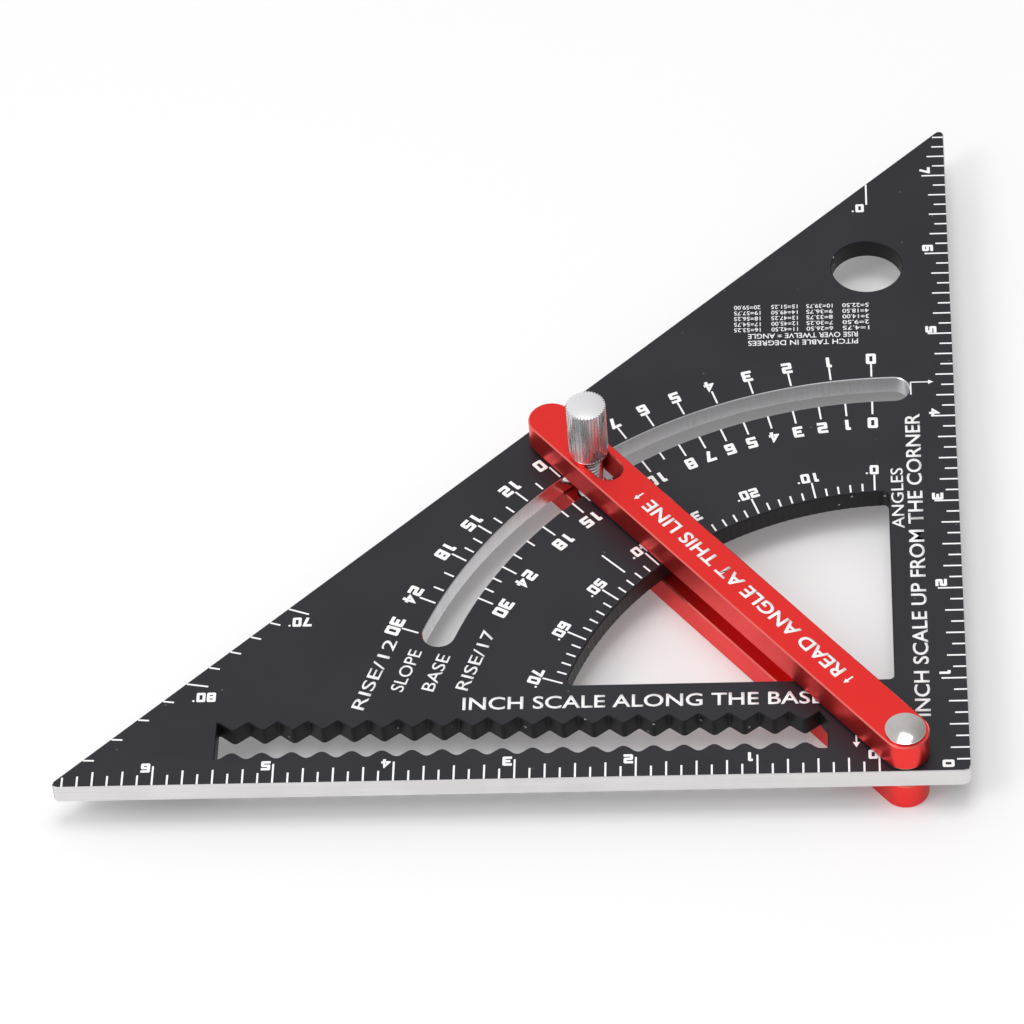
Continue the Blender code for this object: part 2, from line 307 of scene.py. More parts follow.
def turned(
    name: str,
    profile: Sequence[Point],
    centre: Point,
    closed: bool = False,
    steps: int = ROUND_STEPS,
) -> Piece:
    """A turned piece about an upright axis.

    Args:
        name: the piece's name.
        profile: (radius, level) points down its outer side.
        centre: the axis.
        closed: whether the profile is a loop, as a ring's is.
        steps: facets round it.

    Returns:
        The closed mesh object.
    """
    edges = [(i, i + 1) for i in range(len(profile) - 1)]
    if closed:
        edges.append((len(profile) - 1, 0))
    mesh = bpy.data.meshes.new(name)
    mesh.from_pydata([(radius, 0, level) for radius, level in profile], edges, [])
    obj = bpy.data.objects.new(name, mesh)
    screw = obj.modifiers.new("turn", "SCREW")
    screw.steps = screw.render_steps = steps
    screw.use_merge_vertices = True
    screw.merge_threshold = WELD
    return settle(obj, Matrix.Translation((*centre, 0)))


def loft(name: str, rings: Sequence[Sequence[Vector]]) -> Piece:
    """A closed solid through rings of equal count, capped at both ends."""
    mesh = bpy.data.meshes.new(name)
    bm = bmesh.new()
    loops = [[bm.verts.new(point) for point in ring] for ring in rings]
    count = len(loops[0])
    for lower, upper in zip(loops, loops[1:]):
        for i in range(count):
            j = (i + 1) % count
            bm.faces.new((lower[i], lower[j], upper[j], upper[i]))
    bm.faces.new(loops[0])
    bm.faces.new(loops[-1])
    bm.to_mesh(mesh)
    bm.free()
    return settle(bpy.data.objects.new(name, mesh))


def carve(obj: Piece, *cutters: Piece) -> Piece:
    """Cuts the cutters out of a piece, and removes them."""
    for cutter in cutters:
        cut = obj.modifiers.new("cut", "BOOLEAN")
        cut.operation = "DIFFERENCE"
        cut.solver = "EXACT"
        cut.object = cutter
    carved = settle(obj)
    for cutter in cutters:
        remove(cutter)
    return carved


def prism(name: str, corners: Outline, levels: Sequence[float]) -> Piece:
    """A straight-sided block between two levels, as a cutter."""
    return loft(name, [[Vector((*corner, level)) for corner in corners] for level in levels])


def drill(name: str, centre: Point, radius: float, bottom: float, top: float) -> Piece:
    """A round bar between two levels, as a cutter."""
    return turned(name, [(0, top), (radius, top), (radius, bottom), (0, bottom)], centre)


def oblong(centre: Point, half_length: float, half_width: float, turn: float = 0.0) -> Outline:
    """The corners of an oblong, anticlockwise.

    Args:
        centre: its middle.
        half_length: half its side along the turned X.
        half_width: half its other side.
        turn: radians from +X.

    Returns:
        Its four corners.
    """
    cos, sin = math.cos(turn), math.sin(turn)
    signs = ((-1, -1), (1, -1), (1, 1), (-1, 1))
    flat = [(x * half_length, y * half_width) for x, y in signs]
    return [(centre[0] + x * cos - y * sin, centre[1] + x * sin + y * cos) for x, y in flat]


# ---------------------------------------------------------------- shader nodes


def plug(tree: Tree, node: bpy.types.Node, inputs: Inputs) -> None:
    """Fills a node's inputs.

    Args:
        tree: the tree that it is in.
        node: the node.
        inputs: a value, or the socket to link from, for each input.
    """
    for key, value in inputs.items():
        if isinstance(value, Socket):
            tree.links.new(value, node.inputs[key])
        else:
            node.inputs[key].default_value = value


def add_node(tree: Tree, kind: str, inputs: Inputs, **settings: object) -> Sockets:
    """Adds a node to a shader.

    Args:
        tree: where it goes.
        kind: its type.
        inputs: a value, or the socket to link from, for each input.
        settings: its other settings.

    Returns:
        Its outputs.
    """
    node = tree.nodes.new(kind)
    for name, value in settings.items():
        setattr(node, name, value)
    plug(tree, node, inputs)
    return node.outputs


def maths(tree: Tree, operation: str, *terms: object, clamp: bool = False) -> Socket:
    """The result of a sum on values or sockets."""
    inputs = dict(enumerate(terms))
    return add_node(tree, "ShaderNodeMath", inputs, operation=operation, use_clamp=clamp)["Value"]


def mixed(tree: Tree, share: Socket, first: object, second: object) -> Socket:
    """A colour between two others."""
    inputs = {"Factor": share, "A": first, "B": second}
    return add_node(tree, "ShaderNodeMix", inputs, data_type="RGBA")["Result"]


class Shared(Enum):
    """The shader groups that several finishes use."""

    GRAIN = "fine_grain"
    DRIFT = "slow_drift"
    SPECKS = "sparse_specks"


def open_group(
    which: Shared, inputs: Mapping[str, object], outputs: Sequence[str]
) -> tuple[Tree, Sockets, bpy.types.Node]:
    """Starts a shader group that works on coordinates.

    Args:
        which: the group.
        inputs: the starting value of each input beside the coordinates.
        outputs: the names of its values.

    Returns:
        The group, its inputs as sockets to link from, and its output node.
    """
    tree = bpy.data.node_groups.new(which.value, "ShaderNodeTree")
    for name, value in {"Coordinates": (0.0, 0.0, 0.0), **inputs}.items():
        kind = "NodeSocketFloat" if isinstance(value, float) else "NodeSocketVector"
        socket = tree.interface.new_socket(name=name, in_out="INPUT", socket_type=kind)
        socket.default_value = value
    for name in outputs:
        tree.interface.new_socket(name=name, in_out="OUTPUT", socket_type="NodeSocketFloat")
    return tree, tree.nodes.new("NodeGroupInput").outputs, tree.nodes.new("NodeGroupOutput")


def build_grain() -> Tree:
    """Fine streaks or speckle: noise on stretched coordinates, as a height and a tone."""
    starts = {"Stretch": (1000.0, 1000.0, 1000.0), "Contrast": 1.0}
    tree, given, leave = open_group(Shared.GRAIN, starts, ["Height", "Tone"])
    factors = {0: given["Coordinates"], 1: given["Stretch"]}
    place = add_node(tree, "ShaderNodeVectorMath", factors, operation="MULTIPLY")["Vector"]
    look = {"Vector": place, "Scale": 1.0, "Detail": 3.0, "Roughness": 0.6}
    noise = add_node(tree, "ShaderNodeTexNoise", look)["Fac"]
    centred = maths(tree, "SUBTRACT", noise, 0.5)
    tone = maths(tree, "MULTIPLY_ADD", centred, given["Contrast"], 0.5, clamp=True)
    plug(tree, leave, {"Height": noise, "Tone": tone})
    return tree


def build_drift() -> Tree:
    """Slow change over a surface from handling: a smooth mask from broad noise."""
    starts = {"Scale": 40.0, "Low": 0.35, "High": 0.65}
    tree, given, leave = open_group(Shared.DRIFT, starts, ["Mask"])
    place = {"Vector": given["Coordinates"], "Scale": given["Scale"]}
    look = {**place, "Detail": 4.0, "Distortion": 0.6}
    noise = add_node(tree, "ShaderNodeTexNoise", look)["Fac"]
    span = {"Value": noise, "From Min": given["Low"], "From Max": given["High"]}
    spread = add_node(tree, "ShaderNodeMapRange", span, interpolation_type="SMOOTHSTEP")
    plug(tree, leave, {"Mask": spread["Result"]})
    return tree


def build_specks() -> Tree:
    """Sparse small specks, as of dust or nicks: a mask of a few cells' centres."""
    starts = {"Cells": 500.0, "Size": 0.12, "Share": 0.04}
    tree, given, leave = open_group(Shared.SPECKS, starts, ["Mask"])
    look = {"Vector": given["Coordinates"], "Scale": given["Cells"]}
    cells = add_node(tree, "ShaderNodeTexVoronoi", look)
    near = maths(tree, "LESS_THAN", cells["Distance"], given["Size"])
    red = add_node(tree, "ShaderNodeSeparateColor", {"Color": cells["Color"]})["Red"]
    chosen = maths(tree, "LESS_THAN", red, given["Share"])
    plug(tree, leave, {"Mask": maths(tree, "MULTIPLY", near, chosen)})
    return tree


BUILDERS: dict[Shared, Callable[[], Tree]] = {
    Shared.GRAIN: build_grain,
    Shared.DRIFT: build_drift,
    Shared.SPECKS: build_specks,
}


def add_group(tree: Tree, which: Shared, inputs: Inputs) -> Sockets:
    """Places a shared group in a shader, and builds it the first time."""
    group = bpy.data.node_groups.get(which.value) or BUILDERS[which]()
    return add_node(tree, "ShaderNodeGroup", inputs, node_tree=group)


# ---------------------------------------------------------------- finishes


@dataclass(frozen=True)
class Finish:
    """A surface finish: two close colours, two roughnesses and a fine grain.

    Attributes:
        name: the material's name.
        light: the colour where the surface is cleanest.
        dark: the colour it drifts to.
        smooth: the lowest roughness.
        rough: the highest roughness.
        metallic: how metallic it is.
        stretch: grain lines per metre along X, Y and Z.
        grain_tone: how much the grain shows in the colour.
        grain_height: the grain's depth in metres.
        grain_contrast: how far the grain's tone swings.
        drift: patches per metre of the slow change.
        gloss: strength of the reflection where it isn't metallic, 0.5 being plain plastic's.
        speck: the colour of its specks of dust or bare metal.
        speck_share: the share of cells that have a speck.
        speck_cells: cells per metre.
        speck_size: a speck's size as a share of its cell.
    """

    name: str
    light: Colour
    dark: Colour
    smooth: float
    rough: float
    metallic: float = 0.0
    stretch: Triple = (2400.0, 2400.0, 2400.0)
    grain_tone: float = 0.3
    grain_height: float = 0.004 * MM
    grain_contrast: float = 2.0
    drift: float = 45.0
    gloss: float = 0.5
    speck: Colour = (0.3, 0.3, 0.3)
    speck_share: float = 0.0
    speck_cells: float = 500.0
    speck_size: float = 0.1

    def material(self) -> bpy.types.Material:
        """Builds the material, or returns it if it is already there."""
        existing = bpy.data.materials.get(self.name)
        if existing:
            return existing
        material = bpy.data.materials.new(self.name)
        material.use_nodes = True
        material.diffuse_color = (*self.light, 1.0)
        self.wire(material.node_tree)
        return material

    def wire(self, tree: Tree) -> None:
        """Links the finish's nodes to its shader.

        Args:
            tree: the material's node tree.
        """
        place = tree.nodes.new("ShaderNodeTexCoord").outputs["Object"]
        weave = {"Coordinates": place, "Stretch": self.stretch, "Contrast": self.grain_contrast}
        grain = add_group(tree, Shared.GRAIN, weave)
        drift = add_group(tree, Shared.DRIFT, {"Coordinates": place, "Scale": self.drift})
        share = maths(tree, "MULTIPLY", drift["Mask"], 1.0 - self.grain_tone)
        amount = maths(tree, "MULTIPLY_ADD", grain["Tone"], self.grain_tone, share, clamp=True)
        tint = mixed(tree, amount, (*self.light, 1.0), (*self.dark, 1.0))
        span = {"Value": amount, "To Min": self.smooth, "To Max": self.rough}
        relief = {"Distance": self.grain_height, "Height": self.height(tree, place, grain)}
        surface = {
            "Metallic": self.metallic,
            "Specular IOR Level": self.gloss,
            "Base Color": self.specked(tree, place, tint),
            "Roughness": add_node(tree, "ShaderNodeMapRange", span)["Result"],
            "Normal": add_node(tree, "ShaderNodeBump", {"Strength": 1.0, **relief})["Normal"],
        }
        plug(tree, tree.nodes["Principled BSDF"], surface)

    def specked(self, tree: Tree, place: Socket, colour: Socket) -> Socket:
        """Puts the finish's specks over its colour.

        Args:
            tree: the material's node tree.
            place: the coordinates.
            colour: the colour without specks.

        Returns:
            The colour with them.
        """
        if self.speck_share == 0:
            return colour
        spread = {"Cells": self.speck_cells, "Size": self.speck_size, "Share": self.speck_share}
        specks = add_group(tree, Shared.SPECKS, {"Coordinates": place, **spread})
        return mixed(tree, specks["Mask"], colour, (*self.speck, 1.0))

    def height(self, tree: Tree, place: Socket, grain: Sockets) -> Socket:
        """The socket that the bump reads: the grain alone on a plain finish."""
        return grain["Height"]


@dataclass(frozen=True)
class FacedFinish(Finish):
    """A lathe-faced finish, with fine rings about an upright axis.

    Attributes:
        axis: the rings' centre.
        ring_pitch: distance from ring to ring.
        ring_share: how strongly the rings show beside the grain.
        ring_waver: how far the rings stray from true.
    """

    axis: Point = (0.0, 0.0)
    ring_pitch: float = 0.16 * MM
    ring_share: float = 0.8
    ring_waver: float = 0.4

    def height(self, tree: Tree, place: Socket, grain: Sockets) -> Socket:
        """Adds the lathe's rings to the grain."""
        shift = {"Vector": place, "Location": (-self.axis[0], -self.axis[1], 0.0)}
        centred = add_node(tree, "ShaderNodeMapping", shift)["Vector"]
        look = {
            "Vector": centred,
            "Scale": math.pi / (10 * self.ring_pitch),
            "Distortion": self.ring_waver,
        }
        rings = add_node(tree, "ShaderNodeTexWave", look, wave_type="RINGS", rings_direction="Z")
        return maths(tree, "MULTIPLY_ADD", rings["Fac"], self.ring_share, grain["Height"])


class Finishes:
    """Every finish on the object, by the piece that wears it."""

    plate_face = Finish(
        "black_anodised_face",
        light=(0.0102, 0.0102, 0.0145),
        dark=(0.0145, 0.0145, 0.0195),
        smooth=0.36,
        rough=0.44,
        stretch=(3200.0, 3200.0, 3200.0),
        grain_height=0.003 * MM,
        drift=30.0,
        gloss=0.36,
        speck=(0.11, 0.11, 0.12),
        speck_share=0.035,
        speck_cells=420.0,
        speck_size=0.085,
    )
    milled_wall = Finish(
        "black_anodised_milled_wall",
        light=(0.004, 0.004, 0.005),
        dark=(0.009, 0.009, 0.011),
        smooth=0.3,
        rough=0.5,
        stretch=(2200.0, 2200.0, 90.0),
        grain_tone=0.7,
        grain_height=0.03 * MM,
        gloss=0.22,
        speck=(0.4, 0.4, 0.41),
        speck_share=0.05,
        speck_cells=700.0,
        speck_size=0.2,
    )
    sawn_edge = Finish(
        "bare_aluminium_edge",
        light=(0.8, 0.785, 0.78),
        dark=(0.66, 0.645, 0.645),
        smooth=0.3,
        rough=0.45,
        metallic=0.85,
        stretch=(55.0, 55.0, 5200.0),
        grain_tone=0.6,
        grain_height=0.006 * MM,
    )
    slot_wall = Finish(
        "bare_aluminium_slot_wall",
        light=(0.83, 0.83, 0.84),
        dark=(0.7, 0.7, 0.71),
        smooth=0.16,
        rough=0.3,
        metallic=1.0,
        stretch=(1500.0, 1500.0, 45.0),
        grain_tone=0.6,
        grain_height=0.003 * MM,
    )
    red = Finish(
        "red_anodised_bar",
        light=(0.91, 0.042, 0.038),
        dark=(0.85, 0.036, 0.033),
        smooth=0.3,
        rough=0.38,
        metallic=0.9,
        stretch=(2600.0, 2600.0, 2600.0),
        grain_height=0.003 * MM,
        drift=60.0,
    )
    # The chamfers' red is painted much lighter than the bar's: a painted highlight along the bar's
    # edges.
    red_chamfer = Finish(
        "red_anodised_chamfer_painted_highlight",
        light=(1.0, 0.22, 0.19),
        dark=(0.95, 0.16, 0.14),
        smooth=0.16,
        rough=0.24,
        metallic=0.9,
        grain_height=0.002 * MM,
    )
    white = Finish(
        "white_mark",
        light=(0.96, 0.96, 0.96),
        dark=(0.86, 0.86, 0.87),
        smooth=0.45,
        rough=0.6,
        stretch=(4200.0, 4200.0, 4200.0),
        grain_tone=0.8,
    )
    nylon = Finish(
        "nylon_washer",
        light=(0.8, 0.79, 0.74),
        dark=(0.7, 0.69, 0.64),
        smooth=0.4,
        rough=0.55,
    )
    zinc = Finish(
        "zinc_plated_steel",
        light=(0.78, 0.79, 0.81),
        dark=(0.66, 0.66, 0.68),
        smooth=0.18,
        rough=0.34,
        metallic=1.0,
        stretch=(900.0, 900.0, 900.0),
        grain_tone=0.5,
    )

    @staticmethod
    def polished(axis: Point) -> Finish:
        """The pivot's polished steel, with faint lapping rings about its axis."""
        return FacedFinish(
            "polished_pivot_steel",
            light=(0.66, 0.64, 0.615),
            dark=(0.56, 0.54, 0.515),
            smooth=0.1,
            rough=0.2,
            metallic=1.0,
            grain_tone=0.4,
            grain_height=0.0012 * MM,
            drift=220.0,
            axis=axis,
            ring_pitch=0.22 * MM,
        )

    @staticmethod
    def knob(axis: Point) -> Finish:
        """The knob's bare aluminium, faced on a lathe."""
        return FacedFinish(
            "bare_aluminium_knob",
            light=(0.95, 0.95, 0.96),
            dark=(0.88, 0.88, 0.89),
            smooth=0.2,
            rough=0.34,
            metallic=0.95,
            grain_tone=0.25,
            grain_height=0.0012 * MM,
            drift=120.0,
            axis=axis,
        )


def dress(obj: Piece, *finishes: Finish) -> None:
    """Gives an object its finishes, in slot order."""
    obj.data.materials.clear()
    for finish in finishes:
        obj.data.materials.append(finish.material())


def fit(piece: Piece, body: str, slot: str, node: str, *finishes: Finish) -> None:
    """Dresses a piece and puts it in the place of its CAD node.

    Args:
        piece: the piece.
        body: the body that it rides on.
        slot: the record's material slot; not used.
        node: the CAD node that it replaces.
        finishes: its finishes, in slot order.
    """
    dress(piece, *finishes)
    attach(piece, body)
    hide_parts(node)
    log.info("%s: %d faces", piece.name, len(piece.data.polygons))


# ---------------------------------------------------------------- printed marks


class Glyphs:
    """Square-shouldered numerals drawn as strokes in a box 0.7 wide and 1 high.

    In DRAWN a stroke is a run of corners, each a letter for its column and one for its row. A
    stroke that ends in a full stop comes back to its start.
    """

    WIDTH = 0.7
    GAP = 0.17
    HALF_STROKE = 0.13
    CUT = 0.09
    LEFT, RIGHT = 0.1, 0.6
    STEM = 0.5
    COLUMNS = {
        "a": LEFT - HALF_STROKE,
        "b": LEFT,
        "c": LEFT + HALF_STROKE,
        "d": RIGHT - HALF_STROKE,
        "e": RIGHT,
        "f": RIGHT + HALF_STROKE,
        "g": 0.12,
        "h": 0.38,
        "i": 0.3,
        "j": STEM,
        "k": STEM - HALF_STROKE,
        "l": STEM + HALF_STROKE,
        "m": 0.74,
    }
    ROWS = {"z": 0.0, "l": 0.1, "q": 0.36, "m": 0.5, "h": 0.9}
    DRAWN = {
        "0": ["bl el eh bh."],
        "1": ["gh hh hz"],
        "2": ["ah eh em bm bl fl"],
        "3": ["ah eh el al", "bm dm"],
        "4": ["jz jh gq kq", "lq mq"],
        "5": ["fh bh bm em el al"],
        "6": ["fh bh bl el em cm"],
        "7": ["ah eh iz"],
        "8": ["bl el eh bh.", "cm dm"],
        "9": ["al el eh bh bm dm"],
    }

    @classmethod
    def strokes(cls, sign: str) -> list[tuple[Outline, bool]]:
        """The strokes of one sign.

        Args:
            sign: a numeral.

        Returns:
            (points, closed) for each stroke.
        """
        return [
            ([(cls.COLUMNS[p[0]], cls.ROWS[p[1]]) for p in run.rstrip(".").split()], run[-1] == ".")
            for run in cls.DRAWN[sign]
        ]


@dataclass(frozen=True)
class Spot:
    """Where a mark stands and which way its top points.

    Attributes:
        centre: its middle, in metres.
        turn: its reading direction in radians, anticlockwise from +X.
    """

    centre: Point
    turn: float

    def matrix(self) -> Matrix:
        """The transform from the mark's own flat space."""
        return Matrix.Translation((*self.centre, 0)) @ Matrix.Rotation(self.turn, 4, "Z")


class Upright(Enum):
    """The reading directions that the scales use, in radians from +X."""

    PLAIN = 0.0
    UPWARDS = math.pi / 2
    REVERSED = math.pi
    SLANTED = math.radians(71)
    DOWNWARDS = -math.pi / 2


@dataclass
class MarkSheet:
    """Thin white marks on one flat face, gathered into one mesh.

    Attributes:
        name: the piece's name.
        level: the face that the marks lie on.
        body: the body that they ride on.
        line: width of a tick.
        relief: how far the marks stand above the face.
        root: how far they reach into it.
        sharpest_mitre: the least cosine that a turn is mitred with.
        head_spread: half an arrow head's width to its length.
        dot_size: a degree dot's radius, and its gap, to half a stroke.
        dot_rise: how far the dot stands above the middle, to the numeral's height.
    """

    name: str
    level: float
    body: str
    line: float = 0.016 * INCH
    relief: float = 0.012 * MM
    root: float = 0.012 * MM
    sharpest_mitre: float = 0.55
    head_spread: float = 0.55
    dot_size: float = 0.8
    dot_rise: float = 0.4
    bm: bmesh.types.BMesh = field(default_factory=bmesh.new)

    def ribbon(
        self, points: Sequence[Point], half: float, closed: bool = False, cut: float = 0.0
    ) -> None:
        """Draws a line of even width with mitred turns.

        Args:
            points: its middle line.
            half: half its width.
            closed: whether it comes back to its start.
            cut: how much of each turn's outer corner is cut off.
        """
        middle = [Vector(p) for p in points]
        count = len(middle)
        arriving, leaving = [], []
        for i, point in enumerate(middle):
            comes, goes = closed or i > 0, closed or i < count - 1
            way_in = (point - middle[i - 1]).normalized() if comes else None
            way_out = (middle[(i + 1) % count] - point).normalized() if goes else None
            way_in = way_in or way_out
            way_out = way_out or way_in
            aside = Vector((-way_in.y - way_out.y, way_in.x + way_out.x)).normalized()
            reach = half / max(aside.dot(Vector((-way_in.y, way_in.x))), self.sharpest_mitre)
            left = self.bm.verts.new((*(point + aside * reach), 0))
            right = self.bm.verts.new((*(point - aside * reach), 0))
            if not (comes and goes) or cut == 0:
                arriving.append((left, right))
                leaving.append((left, right))
                continue
            turns_left = way_in.cross(way_out) > 0
            outer = right if turns_left else left
            corner = outer.co.to_2d()
            outer.co = (*(corner - way_in * cut), 0)
            beyond = self.bm.verts.new((*(corner + way_out * cut), 0))
            arriving.append((left, right))
            leaving.append((left, beyond) if turns_left else (beyond, right))
            self.bm.faces.new((left, right, beyond))
        last = count if closed else count - 1
        for i in range(last):
            left, right = leaving[i]
            next_left, next_right = arriving[(i + 1) % count]
            self.bm.faces.new((left, right, next_right, next_left))

    def tick(self, start: Point, end: Point, width: Optional[float] = None) -> None:
        """Draws one straight tick."""
        self.ribbon([start, end], (width or self.line) / 2)

    def numeral(
        self, text: str, spot: Spot, height: float, width: float, degree: bool = False
    ) -> None:
        """Writes a number in the stroke numerals.

        Args:
            text: its digits.
            spot: where its middle stands.
            height: the digits' height.
            width: one digit's width.
            degree: whether a degree dot follows.
        """
        place = spot.matrix()
        across = width / Glyphs.WIDTH
        step = Glyphs.WIDTH + Glyphs.GAP
        start = -(len(text) * step - Glyphs.GAP) / 2
        half = Glyphs.HALF_STROKE * (height + across) / 2
        for i, sign in enumerate(text):
            for stroke, closed in Glyphs.strokes(sign):
                flat = [
                    place @ Vector(((start + i * step + x) * across, (y - 0.5) * height, 0))
                    for x, y in stroke
                ]
                self.ribbon([(p.x, p.y) for p in flat], half, closed, Glyphs.CUT * across)
        if degree:
            end = (start + len(text) * step) * across
            radius = self.dot_size * half
            dot = place @ Vector((end + radius, self.dot_rise * height, 0))
            self.dot((dot.x, dot.y), radius)

    def dot(self, centre: Point, radius: float) -> None:
        """Prints a round dot."""
        self.bm.faces.new([self.bm.verts.new((x, y, 0)) for x, y in circle(centre, radius, 12)])

    def arrow(self, tail: Point, tip: Point, width: float, head: float) -> None:
        """Draws an arrow with a solid head.

        Args:
            tail: where its shaft starts.
            tip: where it points.
            width: the shaft's width.
            head: the head's length.
        """
        way = (Vector(tip) - Vector(tail)).normalized()
        aside = Vector((-way.y, way.x)) * head * self.head_spread
        neck = Vector(tip) - way * head
        self.tick(tail, (neck.x, neck.y), width)
        corners = [Vector(tip), neck + aside, neck - aside]
        self.bm.faces.new([self.bm.verts.new((*corner, 0)) for corner in corners])

    def words(self, text: str, spot: Spot, height: float, length: float, bold: float) -> None:
        """Writes a line of capitals.

        Args:
            text: the words.
            spot: where the line's middle stands.
            height: the capitals' height.
            length: the line's length.
            bold: how much the strokes are thickened.
        """
        curve = bpy.data.curves.new("words", "FONT")
        curve.body = text
        curve.offset = bold
        curve.resolution_u = 4
        obj = link(bpy.data.objects.new("words", curve))
        bpy.context.view_layer.update()
        mesh = bpy.data.meshes.new_from_object(
            obj.evaluated_get(bpy.context.evaluated_depsgraph_get())
        )
        remove(obj)
        xs = [v.co.x for v in mesh.vertices]
        ys = [v.co.y for v in mesh.vertices]
        rise = height / (max(ys) - min(ys))
        run = length / (max(xs) - min(xs))
        middle = Matrix.Translation((-(max(xs) + min(xs)) / 2, -(max(ys) + min(ys)) / 2, 0))
        mesh.transform(spot.matrix() @ Matrix.Diagonal((run, rise, 1, 1)) @ middle)
        self.bm.from_mesh(mesh)
        bpy.data.meshes.remove(mesh)

    def print_on(self) -> None:
        """Turns the marks into a thin solid layer on the face, riding on its body."""
        mesh = bpy.data.meshes.new(self.name)
        bmesh.ops.remove_doubles(self.bm, verts=self.bm.verts, dist=WELD)
        for face in self.bm.faces:
            face.normal_update()
        flipped = [face for face in self.bm.faces if face.normal.z < 0]
        bmesh.ops.reverse_faces(self.bm, faces=flipped)
        self.bm.to_mesh(mesh)
        self.bm.free()
        mesh.transform(Matrix.Translation((0, 0, self.level + self.relief)))
        obj = link(bpy.data.objects.new(self.name, mesh))
        thickness = obj.modifiers.new("thickness", "SOLIDIFY")
        thickness.thickness = self.relief + self.root
        thickness.offset = -1.0
        dress(obj, Finishes.white)
        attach(obj, self.body)
        log.info("%s: %d faces", self.name, len(mesh.polygons))


# ---------------------------------------------------------------- the plate


class PlateSlot(Enum):
    """The plate's material slots."""

    FACE = 0
    EDGE = 1
    SLOT_WALL = 2
    MILLED = 3


